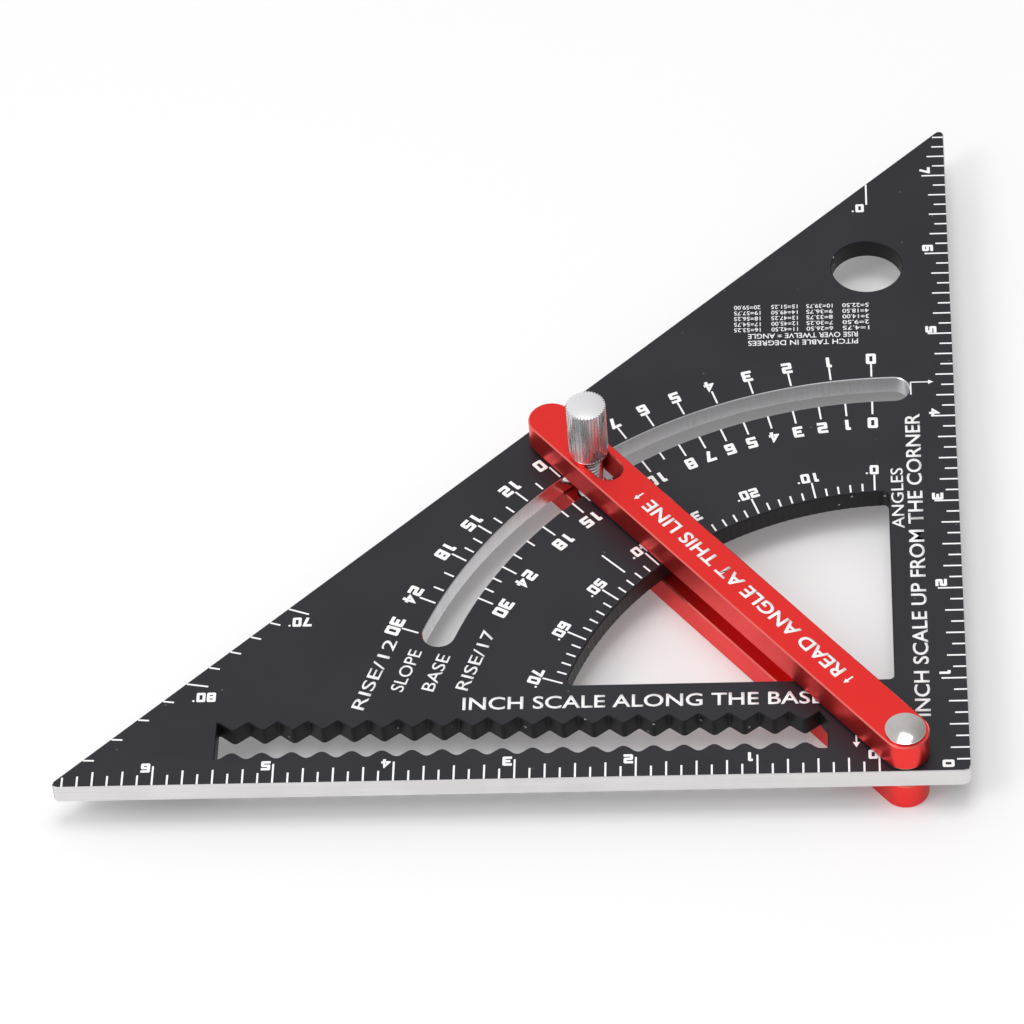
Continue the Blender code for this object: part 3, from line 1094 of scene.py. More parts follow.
@dataclass
class SquarePlate:
    """The black plate: its outline, openings and bare edges.

    Places that end in _in and _up, and the scribing slot's sizes from wave_pitch to peak_reach,
    are inches, as on the plate's own scales. The rest are metres.
    """

    layout: Layout
    corner_radius: float = 2.0 * MM
    tip_radius: float = 1.1 * MM
    chamfer: float = 0.18 * MM
    bore_radius: float = 2.58 * MM
    opening_in: float = 0.605
    opening_up: float = 1.005
    opening_radius: float = 2.925 * INCH
    opening_fillet: float = 1.2 * MM
    fillet_steps: tuple[int, int, int] = (8, 10, 8)
    ripple_depth: float = 0.05 * MM
    ripple_count: int = 52
    ripple_steps: int = 6
    slot_radius: float = 105.0 * MM
    slot_width: float = 7.0 * MM
    slot_turn: float = math.radians(70.2)
    slot_steps: int = 140
    slot_end_steps: int = 28
    wave_pitch: float = 0.25
    wave_first: float = 1.231
    wave_count: int = 20
    wave_steps: int = 12
    near_shoulder: float = 0.06
    far_shoulder: float = 0.015
    wave_low: float = 0.3075
    wave_height: float = 0.0325
    zigzag_low: float = 0.568
    zigzag_high: float = 0.668
    tip_reach: float = 0.03
    peak_reach: float = 0.012
    bend_steps: int = 3
    hang_in: float = 0.737
    hang_up: float = 5.857
    hang_radius: float = 8.0 * MM

    @property
    def leg(self) -> float:
        """The length of a square edge up to the sharp tip that its rounding cuts off."""
        return self.layout.span + math.sqrt(2) * self.tip_radius

    def rim(self) -> Outline:
        """The outer edge."""
        x, y = self.layout.corner
        return filleted(
            [
                ((x, y), self.corner_radius),
                ((x, y + self.leg), self.tip_radius),
                ((x - self.leg, y), self.tip_radius),
            ]
        )

    def quarter_opening(self) -> Outline:
        """The window between two square edges and an arc round the pivot."""
        right, low = self.layout.at(self.opening_in, self.opening_up)
        pivot = self.layout.pivot
        fillet = self.opening_fillet
        inner = self.opening_radius - fillet
        top_x = right - fillet
        top = (top_x, pivot[1] + math.sqrt(inner**2 - (top_x - pivot[0]) ** 2))
        left_y = low + fillet
        left = (pivot[0] - math.sqrt(inner**2 - (left_y - pivot[1]) ** 2), left_y)
        top_angle = math.atan2(top[1] - pivot[1], top[0] - pivot[0])
        left_angle = math.atan2(left[1] - pivot[1], left[0] - pivot[0])
        top_steps, left_steps, corner_steps = self.fillet_steps
        points = arc(top, fillet, 0, top_angle, top_steps)
        steps = self.ripple_count * self.ripple_steps
        for i in range(1, steps):
            angle = top_angle + (left_angle - top_angle) * i / steps
            ripple = self.ripple_depth * (1 - math.cos(2 * math.pi * i / self.ripple_steps)) / 2
            out = self.opening_radius - ripple
            points.append((pivot[0] + out * math.cos(angle), pivot[1] + out * math.sin(angle)))
        down = 3 * math.pi / 2
        points += arc(left, fillet, left_angle, down, left_steps)
        corner = (right - fillet, low + fillet)
        points += arc(corner, fillet, down, 2 * math.pi, corner_steps)
        return points

    def arc_slot(self) -> Outline:
        """The slot that the lock stud runs in."""
        pivot = self.layout.pivot
        half = self.slot_width / 2
        first = math.pi / 2
        last = first + self.slot_turn
        outer = arc(pivot, self.slot_radius + half, first, last, self.slot_steps)
        inner = arc(pivot, self.slot_radius - half, last, first, self.slot_steps)
        centres = arc(pivot, self.slot_radius, first, last, 1)
        steps = self.slot_end_steps
        last_end = arc(centres[1], half, last, last + math.pi, steps)
        first_end = arc(centres[0], half, first + math.pi, first + 2 * math.pi, steps)
        return outer + last_end[1:-1] + inner + first_end[1:-1]

    def bend(self, reach: float, step: int) -> tuple[float, float]:
        """A point on a zigzag's blunted turn: its distance aside, and back from the sharp turn."""
        aside = reach * step / self.bend_steps
        return aside, (aside**2 / reach + reach) / 2

    def scribing_slot(self) -> Outline:
        """The pencil slot, with a wave below and a zigzag above."""
        steps = self.wave_steps
        at = self.layout.at
        last = self.wave_first + self.wave_pitch * self.wave_count
        points: Outline = []
        for i in range(steps * self.wave_count + 1):
            rise = self.wave_low - self.wave_height * math.cos(2 * math.pi * i / steps)
            points.append(at(self.wave_first + self.wave_pitch * i / steps, rise))
        foot = self.wave_low - self.wave_height
        far_side = last + self.far_shoulder
        near_side = self.wave_first - self.near_shoulder
        points += [at(far_side, foot), at(far_side, self.zigzag_high)]
        half = self.wave_pitch / 2
        rise = self.zigzag_high - self.zigzag_low
        for i in range(self.wave_count):
            peak = last - self.wave_pitch * i
            for step in range(0 if i == 0 else -self.bend_steps, self.bend_steps + 1):
                aside, drop = self.bend(self.peak_reach, step)
                points.append(at(peak - aside, self.zigzag_high - rise * drop / half))
            for step in range(-self.bend_steps, self.bend_steps + 1):
                aside, lift = self.bend(self.tip_reach, step)
                points.append(at(peak - half - aside, self.zigzag_low + rise * lift / half))
        points.append(at(self.wave_first, self.zigzag_high))
        points += [at(near_side, self.zigzag_low), at(near_side, foot)]
        return points

    def build(self) -> None:
        """Makes the plate and puts it in the place of the CAD one."""
        holes = [
            self.quarter_opening(),
            self.arc_slot(),
            self.scribing_slot(),
            circle(self.layout.at(self.hang_in, self.hang_up), self.hang_radius),
            circle(self.layout.pivot, self.bore_radius, BORE_STEPS),
        ]
        low, high = self.layout.underside, self.layout.face
        plate = slab("plate", [self.rim(), *holes], low, high, self.chamfer)
        self.dress(plate)

    def slot_of(self, centre: Vector, normal: Vector) -> PlateSlot:
        """The material slot of a face, by where it is and which way it looks."""
        if abs(normal.z) > LEVEL_FACE:
            return PlateSlot.FACE
        inwards = self.layout.corner[0] - centre.x
        upwards = centre.y - self.layout.corner[1]
        rim_depth = min(inwards, upwards, (self.leg - inwards - upwards) / math.sqrt(2))
        if rim_depth < 3 * self.chamfer:
            return PlateSlot.EDGE
        aside = self.layout.pivot[0] - centre.x
        ahead = centre.y - self.layout.pivot[1]
        on_radius = abs(math.hypot(aside, ahead) - self.slot_radius) < self.slot_width
        end_turn = self.slot_width / self.slot_radius
        on_turn = -end_turn < math.atan2(aside, ahead) < self.slot_turn + end_turn
        return PlateSlot.SLOT_WALL if on_radius and on_turn else PlateSlot.MILLED

    def dress(self, plate: Piece) -> None:
        """Bare edges and slot walls, black faces and milled black openings."""
        finishes = (
            Finishes.plate_face,
            Finishes.sawn_edge,
            Finishes.slot_wall,
            Finishes.milled_wall,
        )
        fit(plate, "square", "black_anodise", "square_plate", *finishes)
        for polygon in plate.data.polygons:
            polygon.material_index = self.slot_of(polygon.center, polygon.normal).value


# ---------------------------------------------------------------- the plate's scales


@dataclass(frozen=True)
class Caption:
    """A line of lettering on the plate, in inches from the square corner.

    Attributes:
        text: the words.
        inwards: how far its middle stands from the right edge.
        upwards: how far it stands above the bottom edge.
        turn: its reading direction.
        height: the capitals' height.
        length: the line's length.
        bold: how much the strokes are thickened.
    """

    text: str
    inwards: float
    upwards: float
    turn: Upright
    height: float
    length: float
    bold: float = 0.012


@dataclass(frozen=True)
class SlopeScale:
    """Rises over a fixed run, along one side of the arc slot. Distances are in inches.

    Attributes:
        name: the sheet's name.
        run: the run that the rises are measured over.
        labelled: rises with a number.
        plain: rises with a short tick alone.
        start: where ticks start.
        long_end: where the numbered ones end.
        short_end: where the others end.
        label: where the numbers' middles stand.
    """

    name: str
    run: float
    labelled: tuple[int, ...]
    plain: tuple[int, ...]
    start: float
    long_end: float
    short_end: float
    label: float


@dataclass
class PlateScales:
    """The white scales and lettering on the plate. Lengths are in inches.

    Tick lengths are for a whole inch, a quarter and an eighth. A numeral's size is its height
    and width, and an arrow's is its line's width and its head's length.
    """

    layout: Layout
    edge_gap: float = 0.008
    last_reach: float = 7.605
    edge_size: Pair = (0.09, 0.073)
    right_ticks: Triple = (0.216, 0.163, 0.116)
    right_numerals_in: float = 0.187
    right_numerals_up: Sequence[float] = (0.08, 1.06, 2.06, 3.05, 4.05, 5.05, 6.07, 7.07)
    right_eighths: int = 60
    bottom_start: float = 0.75
    bottom_ticks: Triple = (0.21, 0.158, 0.114)
    bottom_numerals_up: float = 0.192
    bottom_numerals_past: Sequence[float] = (0.05, *[0.062] * 6)
    bottom_eighths: int = 54
    zero_arrow: tuple[Point, Point] = ((0.935, 0.40), (0.935, 0.27))
    zero_arrow_size: Pair = (0.014, 0.055)
    reading_offset: float = 0.185
    degree_centre: Point = (0.538, 0.191)
    degree_size: Pair = (0.1, 0.071)
    degree_start: float = 2.945
    degree_ends: Pair = (3.125, 3.03)
    degree_label: float = 3.185
    half_mark: Pair = (3.10, 3.38)
    slope_size: Pair = (0.118, 0.082)
    slant_size: Pair = (0.095, 0.07)
    slant_centre: Point = (0.553, 0.217)
    slant_offset: float = 0.17
    slant_line: float = 7.625
    slant_ticks: Triple = (0.185, 0.092, 0.26)
    slant_numerals: Sequence[tuple[str, float, float]] = (
        ("70", 5.59, 1.765),
        ("80", 6.355, 0.948),
        ("0", 0.784, 6.60),
    )
    elbow: tuple[Point, Point, Point] = ((0.384, 4.26), (0.384, 4.41), (0.185, 4.41))
    elbow_size: Pair = (0.012, 0.045)
    table_columns: Sequence[float] = (0.845, 1.165, 1.475, 1.805)
    table_rows: Sequence[float] = (5.095, 5.165, 5.235, 5.305, 5.375)
    table_run: int = 12

    SLOPES = (
        SlopeScale(
            "outer_slope_scale",
            12.0,
            (*range(0, 11), 12, 15, 18, 24, 30),
            (11, 13, 14, 16, 17, 20, 22),
            start=4.298,
            long_end=4.45,
            short_end=4.395,
            label=4.515,
        ),
        SlopeScale(
            "inner_slope_scale",
            12.0 * math.sqrt(2),
            (*range(0, 9), 10, 12, 15, 18, 24, 30),
            (9, 13, 14, 16, 20, 22, 26, 28),
            start=3.995,
            long_end=3.845,
            short_end=3.905,
            label=3.742,
        ),
    )
    CAPTIONS = (
        Caption("INCH SCALE ALONG THE BASE", 2.70, 0.82, Upright.PLAIN, 0.138, 3.0),
        Caption("INCH SCALE UP FROM THE CORNER", 0.38, 2.31, Upright.UPWARDS, 0.132, 3.44),
        Caption("ANGLES", 0.53, 3.04, Upright.UPWARDS, 0.108, 0.70, 0.006),
        Caption("RISE/12", 4.95, 1.165, Upright.SLANTED, 0.113, 0.80, 0.004),
        Caption("SLOPE", 4.685, 1.20, Upright.SLANTED, 0.113, 0.47, 0.004),
        Caption("BASE", 4.435, 1.17, Upright.SLANTED, 0.113, 0.41, 0.004),
        Caption("RISE/17", 4.105, 1.30, Upright.SLANTED, 0.113, 0.68, 0.004),
    )
    TABLE_HEADINGS = (
        Caption("PITCH TABLE IN DEGREES", 1.315, 4.93, Upright.REVERSED, 0.062, 0.97),
        Caption("RISE OVER TWELVE = ANGLE", 1.315, 5.015, Upright.REVERSED, 0.062, 0.97),
    )

    def sheet(self, name: str) -> MarkSheet:
        """A new sheet of marks on the plate's face."""
        return MarkSheet(name, self.layout.face, "square")

    def write(
        self,
        sheet: MarkSheet,
        text: str,
        centre: Point,
        turn: float,
        size: Pair,
        degree: bool = False,
    ) -> None:
        """Writes a number.

        Args:
            sheet: where it goes.
            text: its digits.
            centre: its middle, in metres.
            turn: its reading direction in radians.
            size: its height and one digit's width.
            degree: whether a degree dot follows.
        """
        sheet.numeral(text, Spot(centre, turn), size[0] * INCH, size[1] * INCH, degree)

    def letter(self, sheet: MarkSheet, caption: Caption) -> None:
        """Writes a caption."""
        spot = Spot(self.layout.at(caption.inwards, caption.upwards), caption.turn.value)
        sheet.words(caption.text, spot, caption.height * INCH, caption.length * INCH, caption.bold)

    def reach(self, eighths: int, lengths: Triple, distance: float) -> float:
        """Where the tick at a count of eighths ends, short of the plate's long edge."""
        inch, quarter, eighth = lengths
        length = inch if eighths % 8 == 0 else quarter if eighths % 2 == 0 else eighth
        return min(length, self.last_reach - distance)

    def right_scale(self) -> None:
        """Inches up the right edge."""
        sheet = self.sheet("right_inch_scale")
        at = self.layout.at
        for eighths in range(1, self.right_eighths + 1):
            height = eighths / 8
            reach = self.reach(eighths, self.right_ticks, height)
            sheet.tick(at(self.edge_gap, height), at(reach, height))
        for number, height in enumerate(self.right_numerals_up):
            centre = at(self.right_numerals_in, height)
            self.write(sheet, str(number), centre, Upright.DOWNWARDS.value, self.edge_size)
        sheet.print_on()

    def bottom_scale(self) -> None:
        """Inches along the bottom edge, from the pivot's line."""
        sheet = self.sheet("bottom_inch_scale")
        at = self.layout.at
        for eighths in range(self.bottom_eighths + 1):
            inwards = self.bottom_start + eighths / 8
            reach = self.reach(eighths, self.bottom_ticks, inwards)
            sheet.tick(at(inwards, self.edge_gap), at(inwards, reach))
        for number, past in enumerate(self.bottom_numerals_past):
            centre = at(self.bottom_start + number + past, self.bottom_numerals_up)
            self.write(sheet, str(number), centre, Upright.REVERSED.value, self.edge_size)
        tail, tip = (at(*end) for end in self.zero_arrow)
        line, head = self.zero_arrow_size
        sheet.arrow(tail, tip, line * INCH, head * INCH)
        sheet.print_on()

    def ray(self, angle: float, distance: float) -> Point:
        """A point on the arm's reading edge when the arm stands at an angle."""
        side, up = math.cos(angle), math.sin(angle)
        inwards = self.degree_centre[0] + self.reading_offset * side + distance * up
        upwards = self.degree_centre[1] - self.reading_offset * up + distance * side
        return self.layout.at(inwards, upwards)

    def degree_scale(self) -> None:
        """Degrees round the quarter opening, every two degrees."""
        sheet = self.sheet("degree_scale")
        long_end, short_end = self.degree_ends
        for degrees in range(0, 71, 2):
            angle = math.radians(degrees)
            numbered = degrees % 10 == 0
            end = long_end if numbered else short_end
            sheet.tick(self.ray(angle, self.degree_start), self.ray(angle, end))
            if numbered:
                centre = self.ray(angle, self.degree_label)
                self.write(sheet, str(degrees), centre, math.pi + angle, self.degree_size, True)
        half = math.radians(45)
        sheet.tick(*(self.ray(half, distance) for distance in self.half_mark))
        sheet.print_on()

    def slope_scale(self, scale: SlopeScale) -> None:
        """One side of the arc slot, with its numbers' tops towards the pivot."""
        sheet = self.sheet(scale.name)
        for rise in (*scale.labelled, *scale.plain):
            angle = math.atan2(rise, scale.run)
            numbered = rise in scale.labelled
            end = scale.long_end if numbered else scale.short_end
            sheet.tick(self.ray(angle, scale.start), self.ray(angle, end))
            if numbered:
                centre = self.ray(angle, scale.label)
                self.write(sheet, str(rise), centre, math.pi + angle, self.slope_size)
        sheet.print_on()

    def slant_scale(self) -> None:
        """Steep degrees along the long edge, and its zero."""
        sheet = self.sheet("long_edge_degree_scale")
        long, short, zero = self.slant_ticks
        for degrees in range(70, 90, 2):
            self.slant_tick(sheet, math.radians(degrees), short if degrees % 10 else long)
        self.slant_tick(sheet, 0.0, zero)
        for text, inwards, upwards in self.slant_numerals:
            centre = self.layout.at(inwards, upwards)
            self.write(sheet, text, centre, Upright.REVERSED.value, self.slant_size, True)
        sheet.print_on()

    def slant_tick(self, sheet: MarkSheet, angle: float, length: float) -> None:
        """One tick that runs in from the long edge along a ray."""
        side, up = math.cos(angle), math.sin(angle)
        foot_in = self.slant_centre[0] + self.slant_offset * side
        foot_up = self.slant_centre[1] - self.slant_offset * up
        far = (self.slant_line - foot_in - foot_up) / (side + up)
        ends = (
            self.layout.at(foot_in + reach * up, foot_up + reach * side)
            for reach in (far, far - length)
        )
        sheet.tick(*ends)

    def lettering(self) -> None:
        """Plain wording in the places where such a square carries its captions."""
        sheet = self.sheet("plate_lettering")
        for caption in self.CAPTIONS:
            self.letter(sheet, caption)
        foot, corner, tip = (self.layout.at(*end) for end in self.elbow)
        line, head = self.elbow_size
        sheet.tick(foot, corner, line * INCH)
        sheet.arrow(corner, tip, line * INCH, head * INCH)
        sheet.print_on()

    def pitch_table(self) -> None:
        """A small table that turns rises over a foot into degrees, to the nearest quarter."""
        sheet = self.sheet("pitch_table")
        for heading in self.TABLE_HEADINGS:
            self.letter(sheet, heading)
        places = [(column, row) for column in self.table_columns for row in self.table_rows]
        for rise, (column, row) in enumerate(places, 1):
            angle = round(4 * math.degrees(math.atan2(rise, self.table_run))) / 4
            entry = Caption(f"{rise}={angle:.2f}", column, row, Upright.REVERSED, 0.05, 0.235)
            self.letter(sheet, entry)
        sheet.print_on()

    def build(self) -> None:
        """Prints every scale on the plate."""
        self.right_scale()
        self.bottom_scale()
        self.degree_scale()
        for scale in self.SLOPES:
            self.slope_scale(scale)
        self.slant_scale()
        self.lettering()
        self.pitch_table()


# ---------------------------------------------------------------- the swing arm


@dataclass
class SwingArm:
    """The two red bars on one pivot, and the lettering on the upper one."""

    layout: Layout
    width: float = 10.0 * MM
    reach: float = 118.4 * MM
    chamfer: float = 0.28 * MM
    slot_width: float = 6.2 * MM
    slot_from: float = 98.3 * MM
    slot_to: float = 107.0 * MM
    bore_radius: float = 2.58 * MM
    lock_distance: float = 105.0 * MM
    stud_hole_radius: float = 2.98 * MM
    flange_recess_radius: float = 4.05 * MM
    flange_recess_depth: float = 1.6 * MM
    head_recess_side: float = 7.7 * MM
    head_recess_depth: float = 2.4 * MM
    letter_height: float = 3.3 * MM
    letter_bold: float = 0.02
    letters_from: float = 20.5 * MM
    letters_to: float = 85.0 * MM
    arrow_places: tuple[float, float] = (18.2 * MM, 87.7 * MM)
    arrow_half: float = 1.3 * MM
    arrow_line: float = 0.35 * MM
    arrow_head: float = 1.1 * MM

    def bar(self, name: str, node: str, holes: Sequence[Outline]) -> Piece:
        """A round-ended bar as thick as its CAD node, bored for the pivot."""
        low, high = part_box(node)
        rim = stadium(self.layout.pivot, self.layout.along_arm(self.reach), self.width / 2)
        bore = circle(self.layout.pivot, self.bore_radius, BORE_STEPS)
        return slab(name, [rim, bore, *holes], low.z, high.z, self.chamfer)

    def build_upper(self) -> None:
        """The bar on top, with the slot that the stud comes through."""
        ends = (self.layout.along_arm(distance) for distance in (self.slot_from, self.slot_to))
        slot = stadium(*ends, self.slot_width / 2)
        self.finish(self.bar("upper_bar", "upper_arm", [slot]), "upper_arm")

    def build_lower(self) -> None:
        """The bar below, pocketed underneath for the pivot's flange and the stud's head."""
        lock = self.layout.along_arm(self.lock_distance)
        bar = self.bar("lower_bar", "lower_arm", [circle(lock, self.stud_hole_radius, BORE_STEPS)])
        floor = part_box("lower_arm")[0].z
        below = floor - MM
        top = floor + self.flange_recess_depth
        flange = drill("flange_pocket", self.layout.pivot, self.flange_recess_radius, below, top)
        side = self.head_recess_side / 2
        square = oblong(lock, side, side, self.layout.arm_turn)
        head = prism("head_pocket", square, (below, floor + self.head_recess_depth))
        self.finish(carve(bar, flange, head), "lower_arm")

    def finish(self, bar: Piece, node: str) -> None:
        """Dresses a bar, with its chamfers painted lighter as a highlight, in the place of its CAD
        node.
        """
        fit(bar, "arms", "red_anodise", node, Finishes.red, Finishes.red_chamfer)
        for polygon in bar.data.polygons:
            # Chamfer faces take the finish with the painted highlight.
            polygon.material_index = int(CHAMFER_FACE < abs(polygon.normal.z) < LEVEL_FACE)

    def build_letters(self) -> None:
        """Plain wording along the upper bar, read with the bar's far end to the right."""
        sheet = MarkSheet("arm_lettering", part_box("upper_arm")[1].z, "arms")
        middle = (self.letters_from + self.letters_to) / 2
        length = self.letters_to - self.letters_from
        spot = Spot(self.layout.along_arm(middle), self.layout.arm_turn)
        sheet.words("READ ANGLE AT THIS LINE", spot, self.letter_height, length, self.letter_bold)
        for place in self.arrow_places:
            tail = self.layout.along_arm(place, -self.arrow_half)
            tip = self.layout.along_arm(place, self.arrow_half)
            sheet.arrow(tail, tip, self.arrow_line, self.arrow_head)
        sheet.print_on()

    def build(self) -> None:
        """Makes both bars and the lettering."""
        self.build_upper()
        self.build_lower()
        self.build_letters()


# ---------------------------------------------------------------- the pivot


def washer(node: str, name: str, centre: Point, bore: float, chamfer: float) -> Piece:
    """A washer in the place of its CAD node, with its outer corners broken.

    Args:
        node: the CAD node.
        name: the piece's name.
        centre: its axis.
        bore: its bore's radius.
        chamfer: width of the broken corners.

    Returns:
        The washer's object.
    """
    low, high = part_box(node)
    outer = (high.x - low.x) / 2
    profile = [
        (bore, high.z),
        (outer - chamfer, high.z),
        (outer, high.z - chamfer),
        (outer, low.z + chamfer),
        (outer - chamfer, low.z),
        (bore, low.z),
    ]
    return turned(name, profile, centre, closed=True)


@dataclass
class Pivot:
    """The domed screw, its flanged barrel and the two thin washers."""

    layout: Layout
    dome_rise: float = 0.9 * MM
    rim_round: float = 0.12 * MM
    dome_steps: int = 14
    dome_facets: int = 128
    seat_gap: float = 0.05 * MM
    thread_radius: float = 1.7 * MM
    barrel_radius: float = 2.5 * MM
    barrel_bore: float = 1.78 * MM
    flange_radius: float = 4.0 * MM
    flange_height: float = 1.4 * MM
    flange_chamfer: float = 0.2 * MM
    drive_reach: float = 4.8 * MM
    drive_width: float = 1.0 * MM
    drive_depth: float = 0.6 * MM
    washer_bore: float = 2.58 * MM
    washer_chamfer: float = 0.06 * MM

    def build_screw(self) -> None:
        """The polished dome on top of the upper bar."""
        low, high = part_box("pivot_screw")
        radius = (high.x - low.x) / 2
        rim = high.z - self.dome_rise
        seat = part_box("upper_arm")[1].z + self.seat_gap
        dome_radius = radius - self.rim_round
        sphere = (dome_radius**2 + self.dome_rise**2) / (2 * self.dome_rise)
        middle = high.z - sphere
        outs = [dome_radius * i / self.dome_steps for i in range(self.dome_steps + 1)]
        profile = [
            *((out, middle + math.sqrt(sphere**2 - out**2)) for out in outs),
            (radius - 0.3 * self.rim_round, rim - 0.3 * self.rim_round),
            (radius, rim - self.rim_round),
            (radius, seat + self.rim_round),
            (radius - self.rim_round, seat),
            (self.thread_radius, seat),
            (self.thread_radius, low.z),
            (0, low.z),
        ]
        screw = turned("pivot_dome", profile, self.layout.pivot, steps=self.dome_facets)
        self.finish(screw, "pivot_screw")

    def build_barrel(self) -> None:
        """The nut below, with a slot across its flange for a screwdriver."""
        low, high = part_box("pivot_barrel")
        flange_top = low.z + self.flange_height
        profile = [
            (0, flange_top),
            (self.barrel_bore, flange_top),
            (self.barrel_bore, high.z),
            (self.barrel_radius, high.z),
            (self.barrel_radius, flange_top),
            (self.flange_radius, flange_top),
            (self.flange_radius, low.z + self.flange_chamfer),
            (self.flange_radius - self.flange_chamfer, low.z),
            (0, low.z),
        ]
        barrel = turned("pivot_nut", profile, self.layout.pivot)
        corners = oblong(self.layout.pivot, self.drive_reach, self.drive_width / 2)
        levels = (low.z - self.drive_depth, low.z + self.drive_depth)
        self.finish(carve(barrel, prism("drive_slot", corners, levels)), "pivot_barrel")

    def build_washers(self) -> None:
        """The nylon washers above and below the plate."""
        for node in ("upper_pivot_washer", "lower_pivot_washer"):
            name = node.replace("pivot_", "nylon_")
            ring = washer(node, name, self.layout.pivot, self.washer_bore, self.washer_chamfer)
            fit(ring, "square", "nylon", node, Finishes.nylon)

    def finish(self, piece: Piece, node: str) -> None:
        """Polishes a piece and puts it in the place of its CAD node."""
        fit(piece, "arms", "polished_steel", node, Finishes.polished(self.layout.pivot))

    def build(self) -> None:
        """Makes the whole pivot."""
        self.build_screw()
        self.build_barrel()
        self.build_washers()


# ---------------------------------------------------------------- the lock


@dataclass
class Lock:
    """The threaded stud, the knob's washer and the knurled knob."""

    layout: Layout
    head_side: float = 7.6 * MM
    head_height: float = 2.2 * MM
    head_chamfer: float = 0.25 * MM
    pitch: float = 1.0 * MM
    crest_radius: float = 2.9 * MM
    root_radius: float = 2.45 * MM
    thread_root: float = 0.15 * MM
    thread_from: float = 6.6 * MM
    thread_turns: int = 24
    thread_steps: int = 48
    washer_bore: float = 3.0 * MM
    washer_chamfer: float = 0.12 * MM
    teeth: int = 38
    tooth_depth: float = 0.36 * MM
    root_shares: Pair = (0.0, 0.1)
    crest_shares: Pair = (0.34, 0.78)
    knob_chamfer: float = 0.16 * MM
    bore_radius: float = 3.0 * MM
    bore_depth: float = 12.0 * MM

    def build_stud(self) -> None:
        """The square-headed stud: its head, its core and its thread."""
        low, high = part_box("lock_stud")
        half = self.head_side / 2
        chamfer = self.head_chamfer
        top = low.z + self.head_height
        rings = []
        for side, level in ((half - chamfer, low.z), (half, low.z + chamfer), (half, top)):
            square = oblong(self.layout.lock, side, side, self.layout.arm_turn)
            rings.append([Vector((*corner, level)) for corner in square])
        profile = [
            (0, high.z),
            (self.root_radius - chamfer, high.z),
            (self.root_radius, high.z - chamfer),
            (self.root_radius, top - chamfer),
            (0, top - chamfer),
        ]
        pieces = (
            loft("lock_stud_head", rings),
            turned("lock_stud_core", profile, self.layout.lock),
            self.build_thread(),
        )
        for piece in pieces:
            fit(piece, "arms", "zinc_steel", "lock_stud", Finishes.zinc)

    def build_thread(self) -> Piece:
        """The stud's helical ridge, closed at both ends.

        Returns:
            The ridge's object.
        """
        inner = self.root_radius - self.thread_root
        section = (
            (inner, 0.98),
            (self.root_radius, 0.94),
            (self.crest_radius, 0.56),
            (self.crest_radius, 0.44),
            (self.root_radius, 0.06),
            (inner, 0.02),
        )
        edges = [(i, (i + 1) % len(section)) for i in range(len(section))]
        mesh = bpy.data.meshes.new("lock_stud_thread")
        mesh.from_pydata([(radius, 0, share * self.pitch) for radius, share in section], edges, [])
        obj = bpy.data.objects.new("lock_stud_thread", mesh)
        screw = obj.modifiers.new("thread", "SCREW")
        screw.steps = screw.render_steps = self.thread_steps
        screw.screw_offset = self.pitch
        screw.iterations = self.thread_turns
        ridge = settle(obj, Matrix.Translation((*self.layout.lock, self.thread_from)))
        bm = bmesh.new()
        bm.from_mesh(ridge.data)
        bmesh.ops.holes_fill(bm, edges=[e for e in bm.edges if e.is_boundary], sides=0)
        bmesh.ops.recalc_face_normals(bm, faces=bm.faces)
        bm.to_mesh(ridge.data)
        bm.free()
        return ridge

    def build_washer(self) -> None:
        """The thin steel washer under the knob."""
        lock, bore, chamfer = self.layout.lock, self.washer_bore, self.washer_chamfer
        ring = washer("knob_washer", "knob_seat_washer", lock, bore, chamfer)
        fit(ring, "lock_washer", "zinc_steel", "knob_washer", Finishes.zinc)

    def knurl(self, radius: float, level: float) -> list[Vector]:
        """A ring of straight knurling.

        Args:
            radius: the teeth's outer radius at this level.
            level: its height.

        Returns:
            Its points, four to a tooth.
        """
        root = radius - self.tooth_depth
        tooth = [(share, root) for share in self.root_shares]
        tooth += [(share, radius) for share in self.crest_shares]
        ring = []
        for i in range(self.teeth):
            for share, reach in tooth:
                angle = 2 * math.pi * (i + share) / self.teeth
                x = self.layout.lock[0] + reach * math.cos(angle)
                y = self.layout.lock[1] + reach * math.sin(angle)
                ring.append(Vector((x, y, level)))
        return ring

    def build_knob(self) -> None:
        """The straight-knurled knob, bored from below."""
        low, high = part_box("lock_knob")
        lock = self.layout.lock
        radius = (high.x - low.x) / 2
        chamfer = self.knob_chamfer
        sections = (
            (radius - chamfer, low.z),
            (radius, low.z + chamfer),
            (radius, high.z - chamfer),
            (radius - 0.3 * chamfer, high.z - 0.3 * chamfer),
            (radius - chamfer, high.z),
        )
        knob = loft("knurled_knob", [self.knurl(out, level) for out, level in sections])
        bore = drill("knob_bore", lock, self.bore_radius, low.z - MM, low.z + self.bore_depth)
        fit(carve(knob, bore), "knob", "bare_aluminium", "lock_knob", Finishes.knob(lock))

    def build(self) -> None:
        """Makes the stud, the washer and the knob."""
        self.build_stud()
        self.build_washer()
        self.build_knob()


# ---------------------------------------------------------------- the studio


@dataclass(frozen=True)
class Softbox:
    """A soft square light that faces the object.

    Attributes:
        name: its name.
        place: where it stands.
        side: its width.
        power: its power in watts.
    """

    name: str
    place: Triple
    side: float
    power: float

    def build(self) -> None:
        """Sets the light up."""
        data = bpy.data.lights.new(self.name, "AREA")
        data.shape = "SQUARE"
        data.size = self.side
        data.energy = self.power
        light = link(bpy.data.objects.new(self.name, data))
        light.location = self.place
        light.rotation_euler = (-light.location).to_track_quat("-Z", "Y").to_euler()


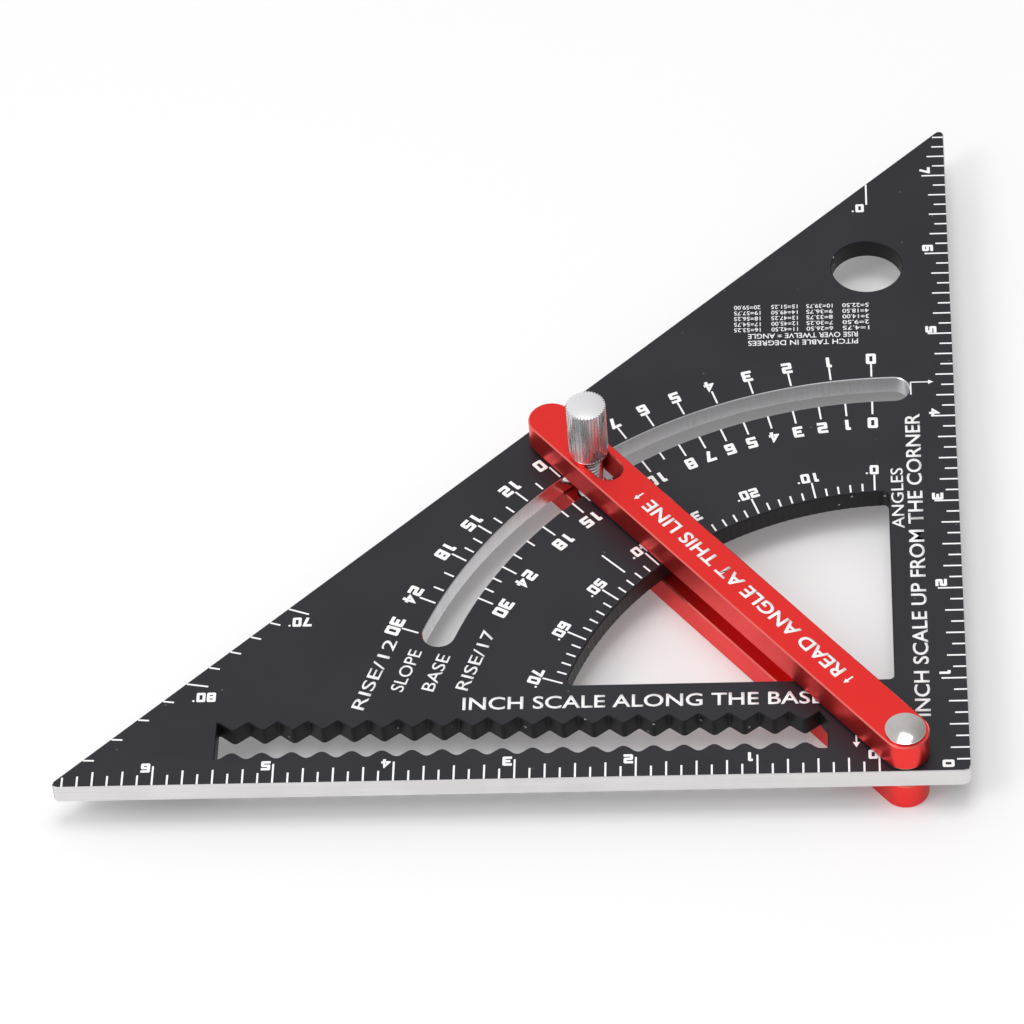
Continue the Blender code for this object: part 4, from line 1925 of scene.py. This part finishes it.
@dataclass
class Studio:
    """A pale floor, soft light and the camera.

    Attributes:
        layout: the places on the frame.
        camera_offset: the camera from the square corner, at the plate's face.
        camera_down: degrees below level that it looks.
        camera_aside: degrees to the left of +Y that it looks.
        camera_roll: degrees that it leans.
        lens: its focal length on a 36 mm sensor.
        floor_side: the floor's width.
        floor_drop: how far it lies under the object, so that the two don't share one face.
        floor_colour: its colour.
        floor_glow: strength of the light that comes up through the floor.
        pale: the colour of that light and of the sky.
        softboxes: the lights.
        sky: strength of the soft light all round.
        right_share: how much of it is left on the right.
        sky_fall: where it starts and stops falling, from -1 on the left to 1 on the right.
    """

    layout: Layout
    camera_offset: Triple = (-0.02817, -0.69822, 0.84513)
    camera_down: float = 47.409
    camera_aside: float = 5.123
    camera_roll: float = -5.036
    lens: float = 184.73
    floor_side: float = 6.0
    floor_drop: float = 0.03 * MM
    floor_colour: Colour = (0.74, 0.74, 0.745)
    floor_glow: float = 0.17
    pale: Colour = (1.0, 0.995, 1.0)
    softboxes: tuple[Softbox, ...] = (
        Softbox("overhead_softbox", (0.05, -0.02, 1.3), 0.55, 5.5),
        Softbox("left_softbox", (-0.9, -0.65, 1.25), 0.6, 6.0),
    )
    sky: float = 0.78
    right_share: float = 0.5
    sky_fall: Pair = (-0.2, 0.9)

    def build_camera(self) -> None:
        """The camera at its viewing angle."""
        data = bpy.data.cameras.new("camera")
        data.lens = self.lens
        data.sensor_width = 36.0
        camera = link(bpy.data.objects.new("camera", data))
        heading = Matrix.Rotation(math.radians(self.camera_aside), 4, "Z")
        tilt = Matrix.Rotation(math.radians(90 - self.camera_down), 4, "X")
        lean = Matrix.Rotation(math.radians(self.camera_roll), 4, "Z")
        corner = Vector((*self.layout.corner, self.layout.face))
        place = Matrix.Translation(corner + Vector(self.camera_offset))
        camera.matrix_world = place @ heading @ tilt @ lean
        bpy.context.scene.camera = camera

    def build_floor(self) -> None:
        """A plain pale floor that the object lies on."""
        mesh = bpy.data.meshes.new("floor")
        half = self.floor_side / 2
        corners = [(x, y, -self.floor_drop) for x, y in oblong((0.0, 0.0), half, half)]
        mesh.from_pydata(corners, [], [(0, 1, 2, 3)])
        floor = link(bpy.data.objects.new("floor", mesh))
        material = bpy.data.materials.new("pale_floor")
        material.use_nodes = True
        tree = material.node_tree
        surface = {
            "Base Color": (*self.floor_colour, 1.0),
            "Roughness": 0.6,
            "Specular IOR Level": 0.2,
            "Emission Color": (*self.pale, 1.0),
            "Emission Strength": self.floor_glow,
        }
        plug(tree, tree.nodes["Principled BSDF"], surface)
        mesh.materials.append(material)

    def build_sky(self) -> None:
        """Even pale light from all round, weaker from the right."""
        world = bpy.data.worlds.new("studio")
        world.use_nodes = True
        tree = world.node_tree
        way = tree.nodes.new("ShaderNodeTexCoord").outputs["Generated"]
        fall = {
            "Value": add_node(tree, "ShaderNodeSeparateXYZ", {"Vector": way})["X"],
            "From Min": self.sky_fall[0],
            "From Max": self.sky_fall[1],
            "To Min": self.sky,
            "To Max": self.sky * self.right_share,
        }
        strength = add_node(tree, "ShaderNodeMapRange", fall, interpolation_type="SMOOTHSTEP")
        light = {"Color": (*self.pale, 1.0), "Strength": strength["Result"]}
        plug(tree, tree.nodes["Background"], light)
        bpy.context.scene.world = world
        bpy.context.scene.view_settings.view_transform = "Standard"

    def build(self) -> None:
        """Sets up the whole studio."""
        self.build_camera()
        self.build_floor()
        for softbox in self.softboxes:
            softbox.build()
        self.build_sky()


def main() -> None:
    """Builds every piece on the frame, then the studio."""
    logging.basicConfig(level=logging.INFO, format="%(name)s: %(message)s")
    layout = Layout.from_frame()
    SquarePlate(layout).build()
    PlateScales(layout).build()
    SwingArm(layout).build()
    Pivot(layout).build()
    Lock(layout).build()
    Studio(layout).build()


if __name__ == "__main__":
    main()
